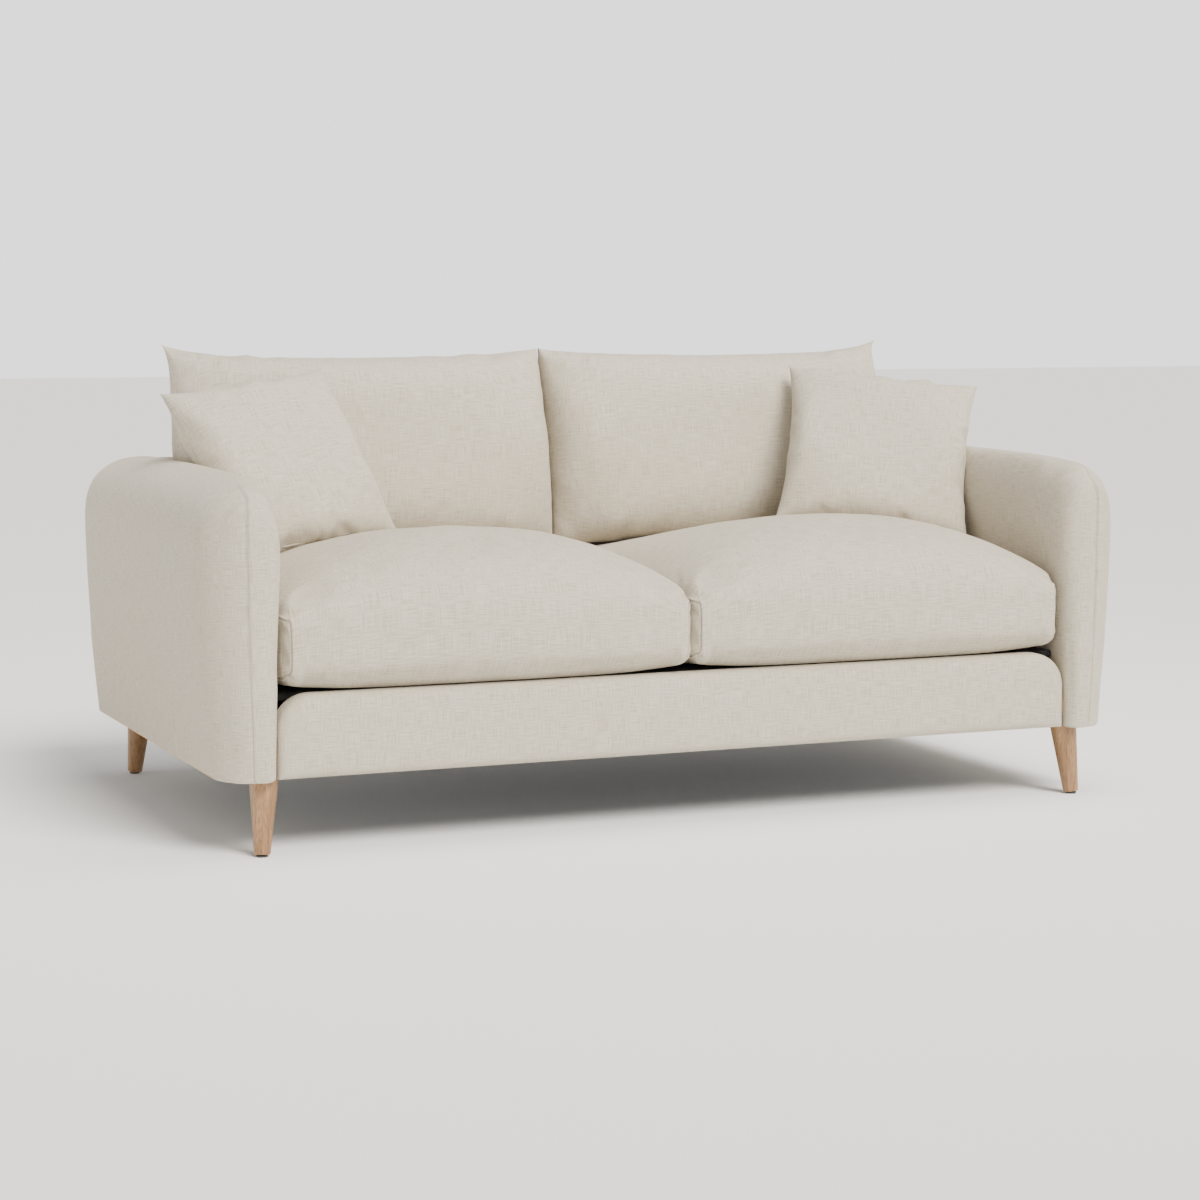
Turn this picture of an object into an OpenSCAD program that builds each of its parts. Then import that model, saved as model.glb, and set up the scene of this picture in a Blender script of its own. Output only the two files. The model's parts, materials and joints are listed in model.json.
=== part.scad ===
// Two-seat sofa on turned oak legs: timber frame, sprung seat, foam arms and back,
// loose seat, back and scatter cushions in zipped covers.
// Millimetres. Origin on the floor under the middle of the sofa, front towards -Y, up +Z.

/* [Overall] */
// Width over the arms at their widest
overall_w = 1850; // [1500:10:2300]
// Depth from the front of the arms to the back
overall_d = 1000; // [850:10:1150]
// Height of the body's underside above the floor
leg_h = 134; // [100:1:190]

/* [Arms] */
// Height of the top of the arm roll above the floor
arm_h = 663; // [600:1:740]
// Width of the arm at its roll
arm_w = 141; // [110:1:200]
// Width of the arm at its foot
arm_foot_w = 104; // [90:1:120]
// How far the foot's outer edge is set in from the roll's outer edge
arm_lean = 20; // [0:1:35]
// Corner radius of the arm's front outer edge in plan
arm_front_r = 85; // [45:1:85]
// Corner radius of the arm's inner edges in plan
arm_inner_r = 18; // [10:1:19]
// Corner radius of the arm's rear outer edge in plan
arm_rear_r = 50; // [35:1:70]
// Edge rounding at both ends of the roll
roll_end_r = 62; // [35:1:68]

/* [Back] */
// Height of the low back above the floor
back_h = 650; // [590:1:740]
// Depth of the back at its top
back_top_d = 85; // [80:1:110]
// Lean of the back's front face from the vertical
back_lean = 12; // [6:1:16]
// Rounding of the back's front top edge
back_front_r = 40; // [36:1:48]
// Rounding of the back's rear top edge
back_rear_r = 36; // [34:1:40]

/* [Upholstery] */
// Thickness of the fabric covers with their wadding
cover_t = 3; // [2:0.5:4]
// Thickness of the foam on the arms
arm_foam_t = 21; // [15:1:22]
// Thickness of the foam on the back
back_foam_t = 27; // [20:1:28]
// Gap left between a foam part and the cover over it
cover_gap = 0.2; // [0.1:0.1:0.5]

/* [Front rail] */
// Height of the seat deck and the top of the upholstered front rail
deck_h = 283; // [260:1:320]
// How far the front rail's face is set back from the arms' front
rail_setback = 13; // [8:1:30]
// Depth of the upholstered front rail
rail_d = 47; // [42:1:60]
// Radius of the front rail's upper corners
rail_corner_r = 80; // [50:1:90]
// Foam above the timber of the front rail
rail_top_foam = 18; // [14:1:22]
// Foam in front of the timber of the front rail
rail_front_foam = 9; // [6:1:12]

/* [Timber] */
// Thickness of the frame's boards and rails
board_t = 25; // [20:1:28]
// Thickness of the hardboard panels
panel_t = 3; // [2:0.5:5]
// Width of an arm post across the arm
post_w = 34; // [26:1:36]
// Depth of an arm post along the arm
post_d = 40; // [30:1:44]
// Width of the rail under the arm roll
arm_rail_w = 44; // [34:1:46]
// Width of a back post
back_post_w = 40; // [30:1:60]
// Depth of a back post
back_post_d = 30; // [24:1:34]
// Length of a corner block
block_l = 70; // [64:1:90]
// Height of a corner block
block_h = 40; // [34:1:50]
// Height of the centre rail
centre_rail_h = 75; // [60:1:78]

/* [Legs] */
// Diameter of a leg at its top
leg_top_dia = 52; // [44:1:58]
// Diameter of a leg at its foot
leg_foot_dia = 29; // [24:1:36]
// Distance of the feet's centres from the sofa's sides
foot_side = 100; // [90:1:108]
// Distance of the front feet's centres from the arms' front
foot_front = 30; // [20:1:60]
// Distance of the rear feet's centres from the back
foot_rear = 22; // [18:1:60]
// Sideways splay of a leg over its height
splay_x = 10; // [0:1:20]
// Fore and aft splay of a leg over its height
splay_y = 18; // [0:1:25]
// Rounding of the foot's edge
foot_edge_r = 3; // [1:0.5:4]
// Diameter of the nylon glide under a foot
glide_dia = 20; // [16:1:23]
// Height of the glide that shows under the foot
glide_h = 3; // [2:0.5:5]
// Diameter of a leg's hanger bolt
bolt_dia = 8; // [6:1:10]
// Length of a leg's hanger bolt above the leg's top
bolt_up = 55; // [40:1:60]
// Length of a leg's hanger bolt inside the leg
bolt_down = 40; // [30:1:60]
// Radial clearance around the bolts
bolt_gap = 0.2; // [0.1:0.1:0.5]
// Length of an arm bolt's shank
arm_bolt_l = 70; // [50:5:100]
// Diameter of an arm bolt's head
arm_bolt_head = 16; // [13:1:18]

/* [Springs] */
// Number of serpentine springs under each seat
springs_per_seat = 4; // [3:1:6]
// Diameter of the spring wire
spring_wire = 3.6; // [3:0.1:4.2]
// Half width of a spring's zigzag
spring_half_w = 26; // [18:1:32]
// Number of bends in a spring
spring_bends = 15; // [11:2:19]
// Diameter of the wires that tie the springs together
tie_wire = 2; // [1.5:0.5:2.5]

/* [Seat cushions] */
// Gap between a cushion and what stands beside it
cushion_gap = 3; // [2:0.5:8]
// Height of the seat cushion's sewn side above the deck
seat_side_h = 142; // [110:1:160]
// Height of the seat cushion's crown above its side
seat_crown_h = 120; // [60:1:140]
// Height of the seat cushion's rear part above its side
seat_rear_h = 48; // [20:1:55]
// Corner radius of a seat cushion in plan
seat_corner_r = 45; // [25:1:70]
// Rounding of a seat cushion's lower edge
seat_edge_r = 30; // [15:1:50]
// Distance of the crown's highest line from the cushion's front
seat_crown_y = 207; // [180:1:260]

/* [Back cushions] */
// Height of a back cushion along its lean
back_cushion_h = 405; // [350:1:440]
// Thickness of a back cushion at its middle
back_cushion_t = 196; // [140:1:210]
// Lean of a back cushion from the vertical
back_cushion_lean = 12.5; // [8:0.5:16]
// Height of a back cushion's lower edge above the seat cushion's sewn side
back_cushion_up = 42; // [42:1:88]
// Distance from a back cushion's lower edge to the back's front face
back_cushion_y = 125; // [110:1:150]

/* [Scatter cushions] */
// Side of a scatter cushion between its seams
scatter_w = 356; // [300:1:380]
// Thickness of a scatter cushion at its middle
scatter_t = 130; // [100:1:150]
// Left one's centre: in from the arm, out from the back, up from the seat cushion's side
scatter_left_from = [168, 319, 241];
// Right one's centre: in from the arm, out from the back, up from the seat cushion's side
scatter_right_from = [162, 345, 239];

/* [Zips] */
// Width of a zip with its tapes
zip_w = 24; // [16:1:30]
// Share of the cushion's side that the zip takes
zip_share = 0.6; // [0.4:0.05:0.7]
// Clearance around a zip in its slot
zip_gap = 0.3; // [0.2:0.1:0.6]

/* [Hidden] */

$fn = 32;

fabric = [0.80, 0.77, 0.72];
foam = [0.95, 0.88, 0.62];
timber = [0.82, 0.68, 0.48];
oak = [0.74, 0.60, 0.42];
steel = [0.65, 0.66, 0.68];
dark_cloth = [0.12, 0.12, 0.12];

half_w = overall_w / 2;
half_d = overall_d / 2;
foot_x = half_w - foot_side;

// Arm: the foot's outer and inner edges and the roll's centre line
arm_foot_out = half_w - arm_lean;
arm_foot_in = arm_foot_out - arm_foot_w;
roll_r = arm_w / 2;
roll_x = half_w - roll_r;
roll_z = arm_h - roll_r;
arm_in = half_w - arm_w;
// The arm's narrowest and widest inner lines between foot and roll
arm_near = min(arm_foot_in, arm_in);
arm_far = max(arm_foot_in, arm_in);
// Inner face of the arm at height z
function arm_inner_x(z) = arm_foot_in - (arm_foot_in - arm_in) * (z - leg_h) / (roll_z - leg_h);

// Timber levels
board_z = leg_h + panel_t;
board_top = board_z + board_t;
rail_top = deck_h - cover_t - rail_top_foam;
rail_half_w = arm_inner_x(deck_h - rail_corner_r) - 1;
rail_y = -half_d + rail_setback;
rail_timber_y = rail_y + cover_t + rail_front_foam;
board_side_x = arm_foot_in - board_t - 1;
bolt_r = bolt_dia / 2;
bolt_bore_r = bolt_r + bolt_gap;

// Arm timbers stand inside the foam
arm_skin = cover_t + arm_foam_t;
post_gap = 3;
arm_flare = arm_far - arm_foot_in;
post_x = arm_far + arm_skin + post_gap + arm_flare / 10;
post_front_y = -half_d + arm_skin + 21;
post_rear_y = half_d - arm_skin - 21 - post_d;
arm_rail_t = board_t;
arm_rail_top = arm_h - arm_skin - 11;
roll_core_r = roll_r - arm_skin;
roll_core_w = sqrt(max(0, pow(roll_core_r, 2) - pow(arm_rail_top - roll_z, 2)));
arm_rail_x = max(post_x, roll_x - roll_core_w + 1);
arm_panel_l = post_rear_y - post_front_y + post_d - 20;

// Back: centres of its two top edges and the front face's line
back_c1 = [half_d - back_top_d + back_front_r, back_h - back_front_r];
back_c2 = [half_d - back_rear_r, back_h - back_rear_r];
function back_face_y(z, e) =
    back_c1[0] - (back_front_r - e) / cos(back_lean) - (back_c1[1] - z) * tan(back_lean);
back_deck_y = back_face_y(deck_h, 0);
back_skin = cover_t + back_foam_t;
back_rail_top = back_c2[1] - 2;
rear_rail_y = back_deck_y + 10;

// Corner blocks stand between the front rail's ends and the arms' posts
block_x = rail_half_w + 1.5;
block_w = arm_foot_in + arm_skin + post_gap - 1 - block_x;

panel_gap = 0.2;

// Seat deck
deck_front_y = rail_y + rail_d;
deck_half_w = arm_inner_x(deck_h) - 2;
deck_cloth_t = 2;
spring_z = rail_top + spring_wire / 2;
tie_z = spring_z + spring_wire / 2 + tie_wire / 2;
deck_pad_z = tie_z + tie_wire / 2 + 0.5;
clip_l = 12;
clip_w = 20;
clip_t = 1.2;

// Cushions
cushion_x0 = cushion_gap;
cushion_x1 = arm_near - cushion_gap;
cushion_w = cushion_x1 - cushion_x0;
cushion_x = (cushion_x0 + cushion_x1) / 2;
seat_front_y = -half_d + cushion_gap;
seat_rear_y = back_deck_y - 2 * cushion_gap;
seat_l = seat_rear_y - seat_front_y;
seat_z = deck_h + 0.5;
seat_side_z = deck_h + seat_side_h;
skin = cover_t;
fill_gap = cover_gap;
back_cushion_at = [cushion_x, back_deck_y - back_cushion_y, seat_side_z + back_cushion_up];

// Scatter cushions: centre, then turn about Z, lean about X and roll about Y
function scatter_at(side, from) =
    [side * (arm_in - from[0]), back_deck_y - from[1], seat_side_z + from[2]];
scatter_left_at = scatter_at(-1, scatter_left_from);
scatter_left_turn = [13, -32, -8];
scatter_right_at = scatter_at(1, scatter_right_from);
scatter_right_turn = [-22, -33, 7];

// ---------------------------------------------------------------- shared shapes

// Foot outline of a right-hand arm in plan, taken in by e
module foot_outline(e) {
    x0 = arm_foot_in + e;
    x1 = arm_foot_out - e;
    y0 = -half_d + e;
    y1 = half_d - e;
    ri = max(arm_inner_r - e, 1);
    rf = arm_front_r - e;
    rr = arm_rear_r - e;
    intersection() {
        translate([x0, y0]) square([x1 - x0, y1 - y0]);
        union() {
            translate([x0, y0 + rf]) square([x1 - x0, y1 - y0 - rf - rr]);
            translate([x0 + ri, y1 - rr - 1]) square([x1 - x0 - ri - rr, rr + 1]);
            translate([x0, y1 - rr - 1]) square([ri, rr + 1 - ri]);
            translate([x0, y0 + ri]) square([ri, rf + 1 - ri]);
            translate([x0 + ri, y1 - ri]) circle(r = ri);
            translate([x0 + ri, y0 + ri]) circle(r = ri);
            translate([x1 - rr, y1 - rr]) circle(r = rr);
            intersection() {
                translate([x1 - rf, y0 + rf]) circle(r = rf, $fn = 64);
                translate([x0 + ri, y0]) square([x1 - x0 - ri, rf]);
            }
        }
    }
}

module arm_foot(e, drop) {
    translate([0, 0, leg_h - drop]) linear_extrude(1) foot_outline(e);
}

// Roll of a right-hand arm, taken in by e: a cylinder along Y with rounded ends
module arm_roll(e) {
    r = roll_r - e;
    f = min(roll_end_r, roll_r) - e;
    len = overall_d - 2 * e;
    lower = [for (a = [0 : 15 : 90]) [r - f + f * sin(a), f - f * cos(a)]];
    upper = [for (a = [90 : 15 : 180]) [r - f + f * sin(a), len - f - f * cos(a)]];
    translate([roll_x, -half_d + e, roll_z])
        rotate([-90, 0, 0])
            rotate_extrude() polygon(concat([[0, 0]], lower, upper, [[0, len]]));
}

// Whole right-hand arm, taken in by e; drop lowers the foot to open a shell
module arm_solid(e, drop) {
    hull() {
        arm_foot(e, drop);
        arm_roll(e);
    }
}

// The arm's inner face is open beside the seat frame, below the deck
module arm_inner_opening() {
    translate([arm_foot_in - 40, rail_y + cover_t, leg_h - 5])
        cube([40 + arm_skin + 3, overall_d - rail_setback - 2 * cover_t, rail_top - leg_h + 5]);
}

// Front rail outline in X and Z with its rounded upper corners, taken in by e
module rail_outline(e, z0) {
    hw = rail_half_w - e;
    r = rail_corner_r - e;
    top = deck_h - e;
    translate([-hw, z0]) square([2 * hw, top - r - z0]);
    translate([-hw + r, z0]) square([2 * (hw - r), top - z0]);
    intersection() {
        for (s = [-1, 1]) translate([s * (hw - r), top - r]) circle(r = r, $fn = 64);
        translate([-hw, z0]) square([2 * hw, top - z0]);
    }
}

module rail_slab(e, z0, y0, y1) {
    translate([0, y1, 0]) rotate([90, 0, 0]) linear_extrude(y1 - y0) rail_outline(e, z0);
}

// Points of the back's outline in Y and Z at depth e below its surface
function back_path(e, z0) = concat(
    [[back_face_y(z0, e), z0]],
    [for (a = [180 - back_lean : -14 : 90]) back_c1 + (back_front_r - e) * [cos(a), sin(a)]],
    [for (a = [90 : -15 : 0]) back_c2 + (back_rear_r - e) * [cos(a), sin(a)]]
);
function reversed(list) = [for (i = [len(list) - 1 : -1 : 0]) list[i]];

// Sheet of the back between depths e0 and e1, from z0 over the top to z1 behind
module back_band(e0, e1, z0, z1) {
    outer = concat(back_path(e0, z0), [[half_d - e0, z1]]);
    inner = concat(back_path(e1, z0), [[half_d - e1, z1]]);
    rotate([90, 0, 90])
        translate([0, 0, -half_w])
            linear_extrude(overall_w) polygon(concat(outer, reversed(inner)));
}

// Everything between the arms' inner faces, less a clearance
module between_arms(gap) {
    foot = arm_inner_x(0) - gap;
    top_z = roll_z;
    top = arm_in - gap;
    rotate([90, 0, 0])
        translate([0, 0, -overall_d])
            linear_extrude(2 * overall_d)
                polygon([[-foot, 0], [foot, 0], [top, top_z], [top, arm_h + 100],
                         [-top, arm_h + 100], [-top, top_z]]);
}

// Places a leg's parts: sx and sy give the corner, z = 0 is the leg's top
module at_leg(sx, sy) {
    foot_y = sy < 0 ? -half_d + foot_front : half_d - foot_rear;
    top = [sx * (foot_x - splay_x), foot_y - sy * splay_y, board_z];
    lean_x = atan(splay_y / board_z);
    lean_y = atan(splay_x / board_z);
    translate(top) rotate([sy * lean_x, -sx * lean_y, 0]) children();
}

module at_legs() {
    for (sx = [-1, 1]) for (sy = [-1, 1]) at_leg(sx, sy) children();
}

// ---------------------------------------------------------------- legs and fixings

module leg(sx, sy) {
    r1 = leg_foot_dia / 2;
    r2 = leg_top_dia / 2;
    stub = 12;
    foot = 2 - board_z;
    color(oak)
        difference() {
            at_leg(sx, sy)
                rotate_extrude($fn = 64)
                    polygon(concat(
                        [[0, stub], [r2, stub], [r2, -1]],
                        [[r1 + 0.4, foot + foot_edge_r]],
                        [for (a = [0 : 15 : 90])
                            [r1 - foot_edge_r + foot_edge_r * cos(a),
                             foot + foot_edge_r - foot_edge_r * sin(a)]],
                        [[0, foot]]
                    ));
            translate([-overall_w, -overall_d, board_z]) cube([2 * overall_w, 2 * overall_d, 50]);
            translate([-overall_w, -overall_d, glide_h - 50]) cube([2 * overall_w, 2 * overall_d, 50]);
            at_leg(sx, sy)
                translate([0, 0, -bolt_down - 1])
                    cylinder(r = bolt_bore_r, h = bolt_down + 20);
        }
}

module leg_front_left() { leg(-1, -1); }
module leg_front_right() { leg(1, -1); }
module leg_rear_left() { leg(-1, 1); }
module leg_rear_right() { leg(1, 1); }

module leg_glides() {
    color(dark_cloth)
        for (sx = [-1, 1]) for (sy = [-1, 1])
            translate([sx * foot_x, sy < 0 ? -half_d + foot_front : half_d - foot_rear, 0])
                cylinder(r = glide_dia / 2, h = glide_h);
}

module leg_bolts() {
    color(steel)
        at_legs() translate([0, 0, -bolt_down]) cylinder(r = bolt_r, h = bolt_down + bolt_up);
}

module bolt_holes() {
    at_legs() translate([0, 0, -20]) cylinder(r = bolt_bore_r, h = bolt_up + 22);
}

// Room for the legs' tops through the covers underneath
module leg_openings() {
    at_legs() translate([0, 0, -40]) cylinder(r = leg_top_dia / 2 + 2, h = 80);
}

module corner_blocks() {
    color(timber)
        difference() {
            for (sx = [-1, 1]) for (sy = [-1, 1])
                translate([
                    sx > 0 ? block_x : -block_x - block_w,
                    sy < 0 ? rail_timber_y + 1 : half_d - cover_t - 2 - block_l,
                    board_top
                ])
                    cube([block_w, block_l, block_h]);
            bolt_holes();
        }
}

module dust_cover() {
    w = 2 * (arm_foot_in + arm_skin);
    d = half_d - arm_skin - deck_front_y - 1;
    color(dark_cloth)
        difference() {
            translate([-w / 2, deck_front_y + 1, leg_h + 1]) cube([w, d, 1]);
            leg_openings();
        }
}

// ---------------------------------------------------------------- seat frame

module front_seat_rail() {
    color(timber)
        rail_slab(cover_t + rail_top_foam, board_z, rail_timber_y, rail_timber_y + board_t);
}

module rear_seat_rail() {
    w = 2 * board_side_x;
    color(timber)
        translate([-w / 2, rear_rail_y, board_z]) cube([w, board_t, rail_top - board_z]);
}

module centre_rail() {
    y0 = rail_timber_y + board_t;
    color(timber)
        translate([-board_t / 2, y0, board_z]) cube([board_t, rear_rail_y - y0, centre_rail_h]);
}

module side_rails() {
    y0 = rail_timber_y + board_t;
    color(timber)
        for (s = [-1, 1])
            translate([s > 0 ? board_side_x - board_t : -board_side_x, y0, board_z])
                cube([board_t, rear_rail_y - y0, centre_rail_h]);
}

// Shaped boards under the arms that the legs screw into
module base_board() {
    e = cover_t + 1 + arm_flare / 10;
    tab_y = deck_front_y + 2;
    linear_extrude(board_t) {
        foot_outline(e);
        translate([board_side_x, tab_y])
            square([arm_foot_in + e + arm_inner_r - board_side_x, half_d - e - tab_y]);
    }
}

module base_boards() {
    color(timber)
        difference() {
            for (s = [0, 1]) mirror([s, 0, 0]) translate([0, 0, board_z]) base_board();
            bolt_holes();
            for (s = [0, 1]) mirror([s, 0, 0]) arm_bolt_pair(bolt_gap);
        }
}

// Bolts up through a base board into a right-hand arm's posts, grown by gap
module arm_bolt_pair(gap) {
    head_h = 5;
    head_z = board_z + 3;
    for (y = [post_front_y, post_rear_y])
        translate([post_x + post_w / 2, y + post_d / 2, head_z]) {
            translate([0, 0, -5 * sign(gap)])
                cylinder(r = arm_bolt_head / 2 + gap, h = head_h + 5 * sign(gap) + gap);
            cylinder(r = bolt_r + gap, h = arm_bolt_l + gap);
        }
}

module arm_bolts() {
    color(steel) for (s = [0, 1]) mirror([s, 0, 0]) arm_bolt_pair(0);
}

// ---------------------------------------------------------------- springs and deck

spring_y0 = rail_timber_y + board_t / 2;
spring_y1 = rear_rail_y + board_t / 2;
spring_pitch = (cushion_w - 120) / (springs_per_seat - 1);
spring_xs = [
    for (s = [-1, 1]) for (i = [0 : springs_per_seat - 1])
        s * (cushion_x0 + 60 + i * spring_pitch)
];

// Centre line of one serpentine spring, t from 0 to 1 along the seat
function spring_point(t) = [
    spring_half_w * sin(180 * spring_bends * t),
    spring_y0 + (spring_y1 - spring_y0) * t - 8 * sin(360 * spring_bends * t)
];

module spring() {
    steps = 4 * spring_bends;
    sides = 6;
    r = spring_wire / 2;
    pts = [for (i = [0 : steps]) spring_point(i / steps)];
    rings = [
        for (i = [0 : steps])
            let (
                d = pts[min(i + 1, steps)] - pts[max(i - 1, 0)],
                n = [-d[1], d[0]] / norm(d)
            )
            for (k = [0 : sides - 1])
                let (a = 360 * k / sides)
                [pts[i][0] + r * cos(a) * n[0], pts[i][1] + r * cos(a) * n[1], spring_z + r * sin(a)]
    ];
    walls = [
        for (i = [0 : steps - 1]) for (k = [0 : sides - 1])
            let (a = i * sides + k, b = i * sides + (k + 1) % sides)
            [a, a + sides, b + sides, b]
    ];
    ends = [
        [for (k = [0 : sides - 1]) k],
        [for (k = [sides - 1 : -1 : 0]) steps * sides + k]
    ];
    polyhedron(points = rings, faces = concat(walls, ends), convexity = 10);
}

module seat_springs() {
    color(steel) for (x = spring_xs) translate([x, 0, 0]) spring();
}

module spring_clips() {
    z0 = spring_z + spring_wire / 2;
    color(steel)
        for (x = spring_xs) for (y = [spring_y0, spring_y1])
            translate([x - clip_w / 2, y - clip_l / 2, z0]) cube([clip_w, clip_l, clip_t]);
}

module tie_wires() {
    span = spring_y1 - spring_y0;
    color(steel)
        for (f = [0.28, 0.52, 0.76]) for (s = [-1, 1])
            translate([s * cushion_x, spring_y0 + f * span, tie_z])
                rotate([0, 90, 0]) cylinder(r = tie_wire / 2, h = cushion_w - 60, center = true);
}

module deck_pad() {
    color(foam)
        translate([-deck_half_w, deck_front_y + 1, deck_pad_z])
            cube([2 * deck_half_w, back_deck_y - deck_front_y - 3,
                  deck_h - deck_cloth_t - deck_pad_z]);
}

module deck_cloth() {
    color(dark_cloth)
        translate([-deck_half_w, deck_front_y + 1, deck_h - deck_cloth_t])
            cube([2 * deck_half_w, back_deck_y - deck_front_y - 3, deck_cloth_t]);
}

// ---------------------------------------------------------------- front rail upholstery

module front_rail_foam() {
    color(foam)
        difference() {
            rail_slab(cover_t + cover_gap, board_z, rail_y + cover_t + cover_gap, deck_front_y);
            rail_slab(cover_t + rail_top_foam, board_z - 1, rail_timber_y, deck_front_y + 1);
            translate([-rail_half_w, spring_y0 - clip_l, rail_top - 1])
                cube([2 * rail_half_w, rail_d, deck_pad_z - rail_top + 1]);
        }
}

module front_rail_cover() {
    color(fabric)
        difference() {
            rail_slab(0, leg_h, rail_y, deck_front_y);
            rail_slab(cover_t, leg_h - 1, rail_y + cover_t, deck_front_y + 1);
            leg_openings();
        }
}

// ---------------------------------------------------------------- arms

module arm_post(y) {
    color(timber)
        difference() {
            translate([post_x, y, board_top])
                cube([post_w, post_d, arm_rail_top - arm_rail_t - board_top]);
            arm_bolt_pair(bolt_gap);
        }
}

module arm_top_rail() {
    y0 = post_front_y + post_d / 2;
    y1 = post_rear_y + post_d / 2;
    color(timber)
        translate([arm_rail_x, y0, arm_rail_top - arm_rail_t])
            cube([arm_rail_w, y1 - y0, arm_rail_t]);
}

// Hardboard on both faces of the arm's posts
module arm_panels() {
    y0 = post_front_y + 10;
    color(timber) {
        translate([post_x + post_w, y0, board_top + 3])
            cube([panel_t, arm_panel_l, arm_rail_top - arm_rail_t - board_top - 6]);
        translate([post_x - panel_t, y0, rail_top])
            cube([panel_t, arm_panel_l, arm_rail_top - arm_rail_t - rail_top - 3]);
    }
}

module arm_foam() {
    color(foam)
        difference() {
            arm_solid(cover_t + cover_gap, 0);
            arm_solid(arm_skin, 2);
            translate([0, -overall_d, leg_h - 5]) cube([overall_w, 2 * overall_d, board_top - leg_h + 5]);
            arm_inner_opening();
        }
}

module arm_cover() {
    color(fabric)
        difference() {
            arm_solid(0, 0);
            arm_solid(cover_t, 2);
            arm_inner_opening();
        }
}

module arm_front_post_right() { arm_post(post_front_y); }
module arm_rear_post_right() { arm_post(post_rear_y); }
module arm_top_rail_right() { arm_top_rail(); }
module arm_panels_right() { arm_panels(); }
module arm_foam_right() { arm_foam(); }
module arm_cover_right() { arm_cover(); }
module arm_front_post_left() { mirror([1, 0, 0]) arm_post(post_front_y); }
module arm_rear_post_left() { mirror([1, 0, 0]) arm_post(post_rear_y); }
module arm_top_rail_left() { mirror([1, 0, 0]) arm_top_rail(); }
module arm_panels_left() { mirror([1, 0, 0]) arm_panels(); }
module arm_foam_left() { mirror([1, 0, 0]) arm_foam(); }
module arm_cover_left() { mirror([1, 0, 0]) arm_cover(); }

// ---------------------------------------------------------------- back

back_post_y = half_d - cover_t - 1 - panel_t - back_post_d;
back_rail_x = board_side_x - 4;

module rear_base_rail() {
    y0 = back_post_y - 25;
    color(timber)
        translate([-back_rail_x, y0, board_z])
            cube([2 * back_rail_x, half_d - cover_t - 1 - panel_t - y0, board_t]);
}

module back_posts() {
    z1 = back_rail_top - board_t;
    color(timber)
        for (x = [-back_rail_x + 40, -back_post_w / 2, back_rail_x - 40 - back_post_w])
            translate([x, back_post_y, board_top]) cube([back_post_w, back_post_d, z1 - board_top]);
}

module back_top_rail() {
    y0 = back_face_y(back_rail_top, back_skin) + 6;
    color(timber)
        translate([-back_rail_x, y0, back_rail_top - board_t])
            cube([2 * back_rail_x, back_post_y + back_post_d - y0, board_t]);
}

// Elastic bands that carry the back's foam
module back_webbing() {
    n = 8;
    band_w = 50;
    pitch = 2 * (back_rail_x - 60) / (n - 1);
    z0 = deck_h + cover_t;
    z1 = back_rail_top - 6;
    e0 = back_skin + 0.5;
    e1 = back_skin + 2.5;
    color(dark_cloth)
        for (i = [0 : n - 1])
            translate([-back_rail_x + 60 + i * pitch, 0, 0])
                rotate([90, 0, 90])
                    translate([0, 0, -band_w / 2])
                        linear_extrude(band_w)
                            polygon([
                                [back_face_y(z0, e0), z0], [back_face_y(z1, e0), z1],
                                [back_face_y(z1, e1), z1], [back_face_y(z0, e1), z0]
                            ]);
}

module back_panel() {
    color(timber)
        translate([-back_rail_x, back_post_y + back_post_d + panel_gap, board_top])
            cube([2 * back_rail_x, panel_t, back_rail_top - board_top - 2]);
}

module back_pad() {
    color(foam)
        intersection() {
            back_band(cover_t + cover_gap, back_skin, deck_h + cover_t, back_c2[1]);
            between_arms(1 + cover_t);
        }
}

module back_cover() {
    color(fabric)
        intersection() {
            back_band(0, cover_t, deck_h, leg_h);
            between_arms(0.5);
        }
}

// ---------------------------------------------------------------- seat cushions

// Right-hand seat cushion, taken in by e: boxed sides under a high crown
module seat_solid(e) {
    r = seat_corner_r - e;
    x0 = cushion_x0 + e + r;
    x1 = cushion_x1 - e - r;
    y0 = seat_front_y + e + r;
    y1 = seat_rear_y - e - r;
    in_r = seat_edge_r;
    crown_y = seat_front_y + seat_crown_y;
    rear_y = seat_front_y + 0.6 * seat_l;
    hull() {
        for (x = [x0, x1]) for (y = [y0, y1]) {
            translate([x, y, seat_z + e + in_r])
                cylinder(r = r, h = seat_side_h - 2 * in_r - 2 * e);
            translate([x, y, seat_z + e]) cylinder(r = r - in_r + 16, h = 1);
        }
        translate([cushion_x, crown_y, seat_side_z - 8])
            scale([cushion_w / 2 - 24 - e, seat_crown_y - e, seat_crown_h + 8 - e]) sphere(r = 1, $fn = 28);
        translate([cushion_x, rear_y, seat_side_z - 8])
            scale([cushion_w / 2 - 24 - e, 0.38 * seat_l - e, seat_rear_h + 8 - e]) sphere(r = 1, $fn = 28);
    }
}

module seat_zip_slot(gap) {
    w = zip_share * cushion_w + 2 * gap;
    h = zip_w + 2 * gap;
    z = seat_z + seat_side_h / 2;
    translate([cushion_x - w / 2, seat_rear_y - cover_t - gap, z - h / 2])
        cube([w, cover_t + 2 * gap, h]);
}

module seat_core() { color(foam) seat_solid(skin + fill_gap); }

module seat_cover() {
    color(fabric)
        difference() {
            seat_solid(0);
            seat_solid(skin);
            seat_zip_slot(zip_gap);
        }
}

module seat_zip() { color(dark_cloth) seat_zip_slot(0); }

module seat_core_right() { seat_core(); }
module seat_cover_right() { seat_cover(); }
module seat_zip_right() { seat_zip(); }
module seat_core_left() { mirror([1, 0, 0]) seat_core(); }
module seat_cover_left() { mirror([1, 0, 0]) seat_cover(); }
module seat_zip_left() { mirror([1, 0, 0]) seat_zip(); }

// ---------------------------------------------------------------- back and scatter cushions

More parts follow.
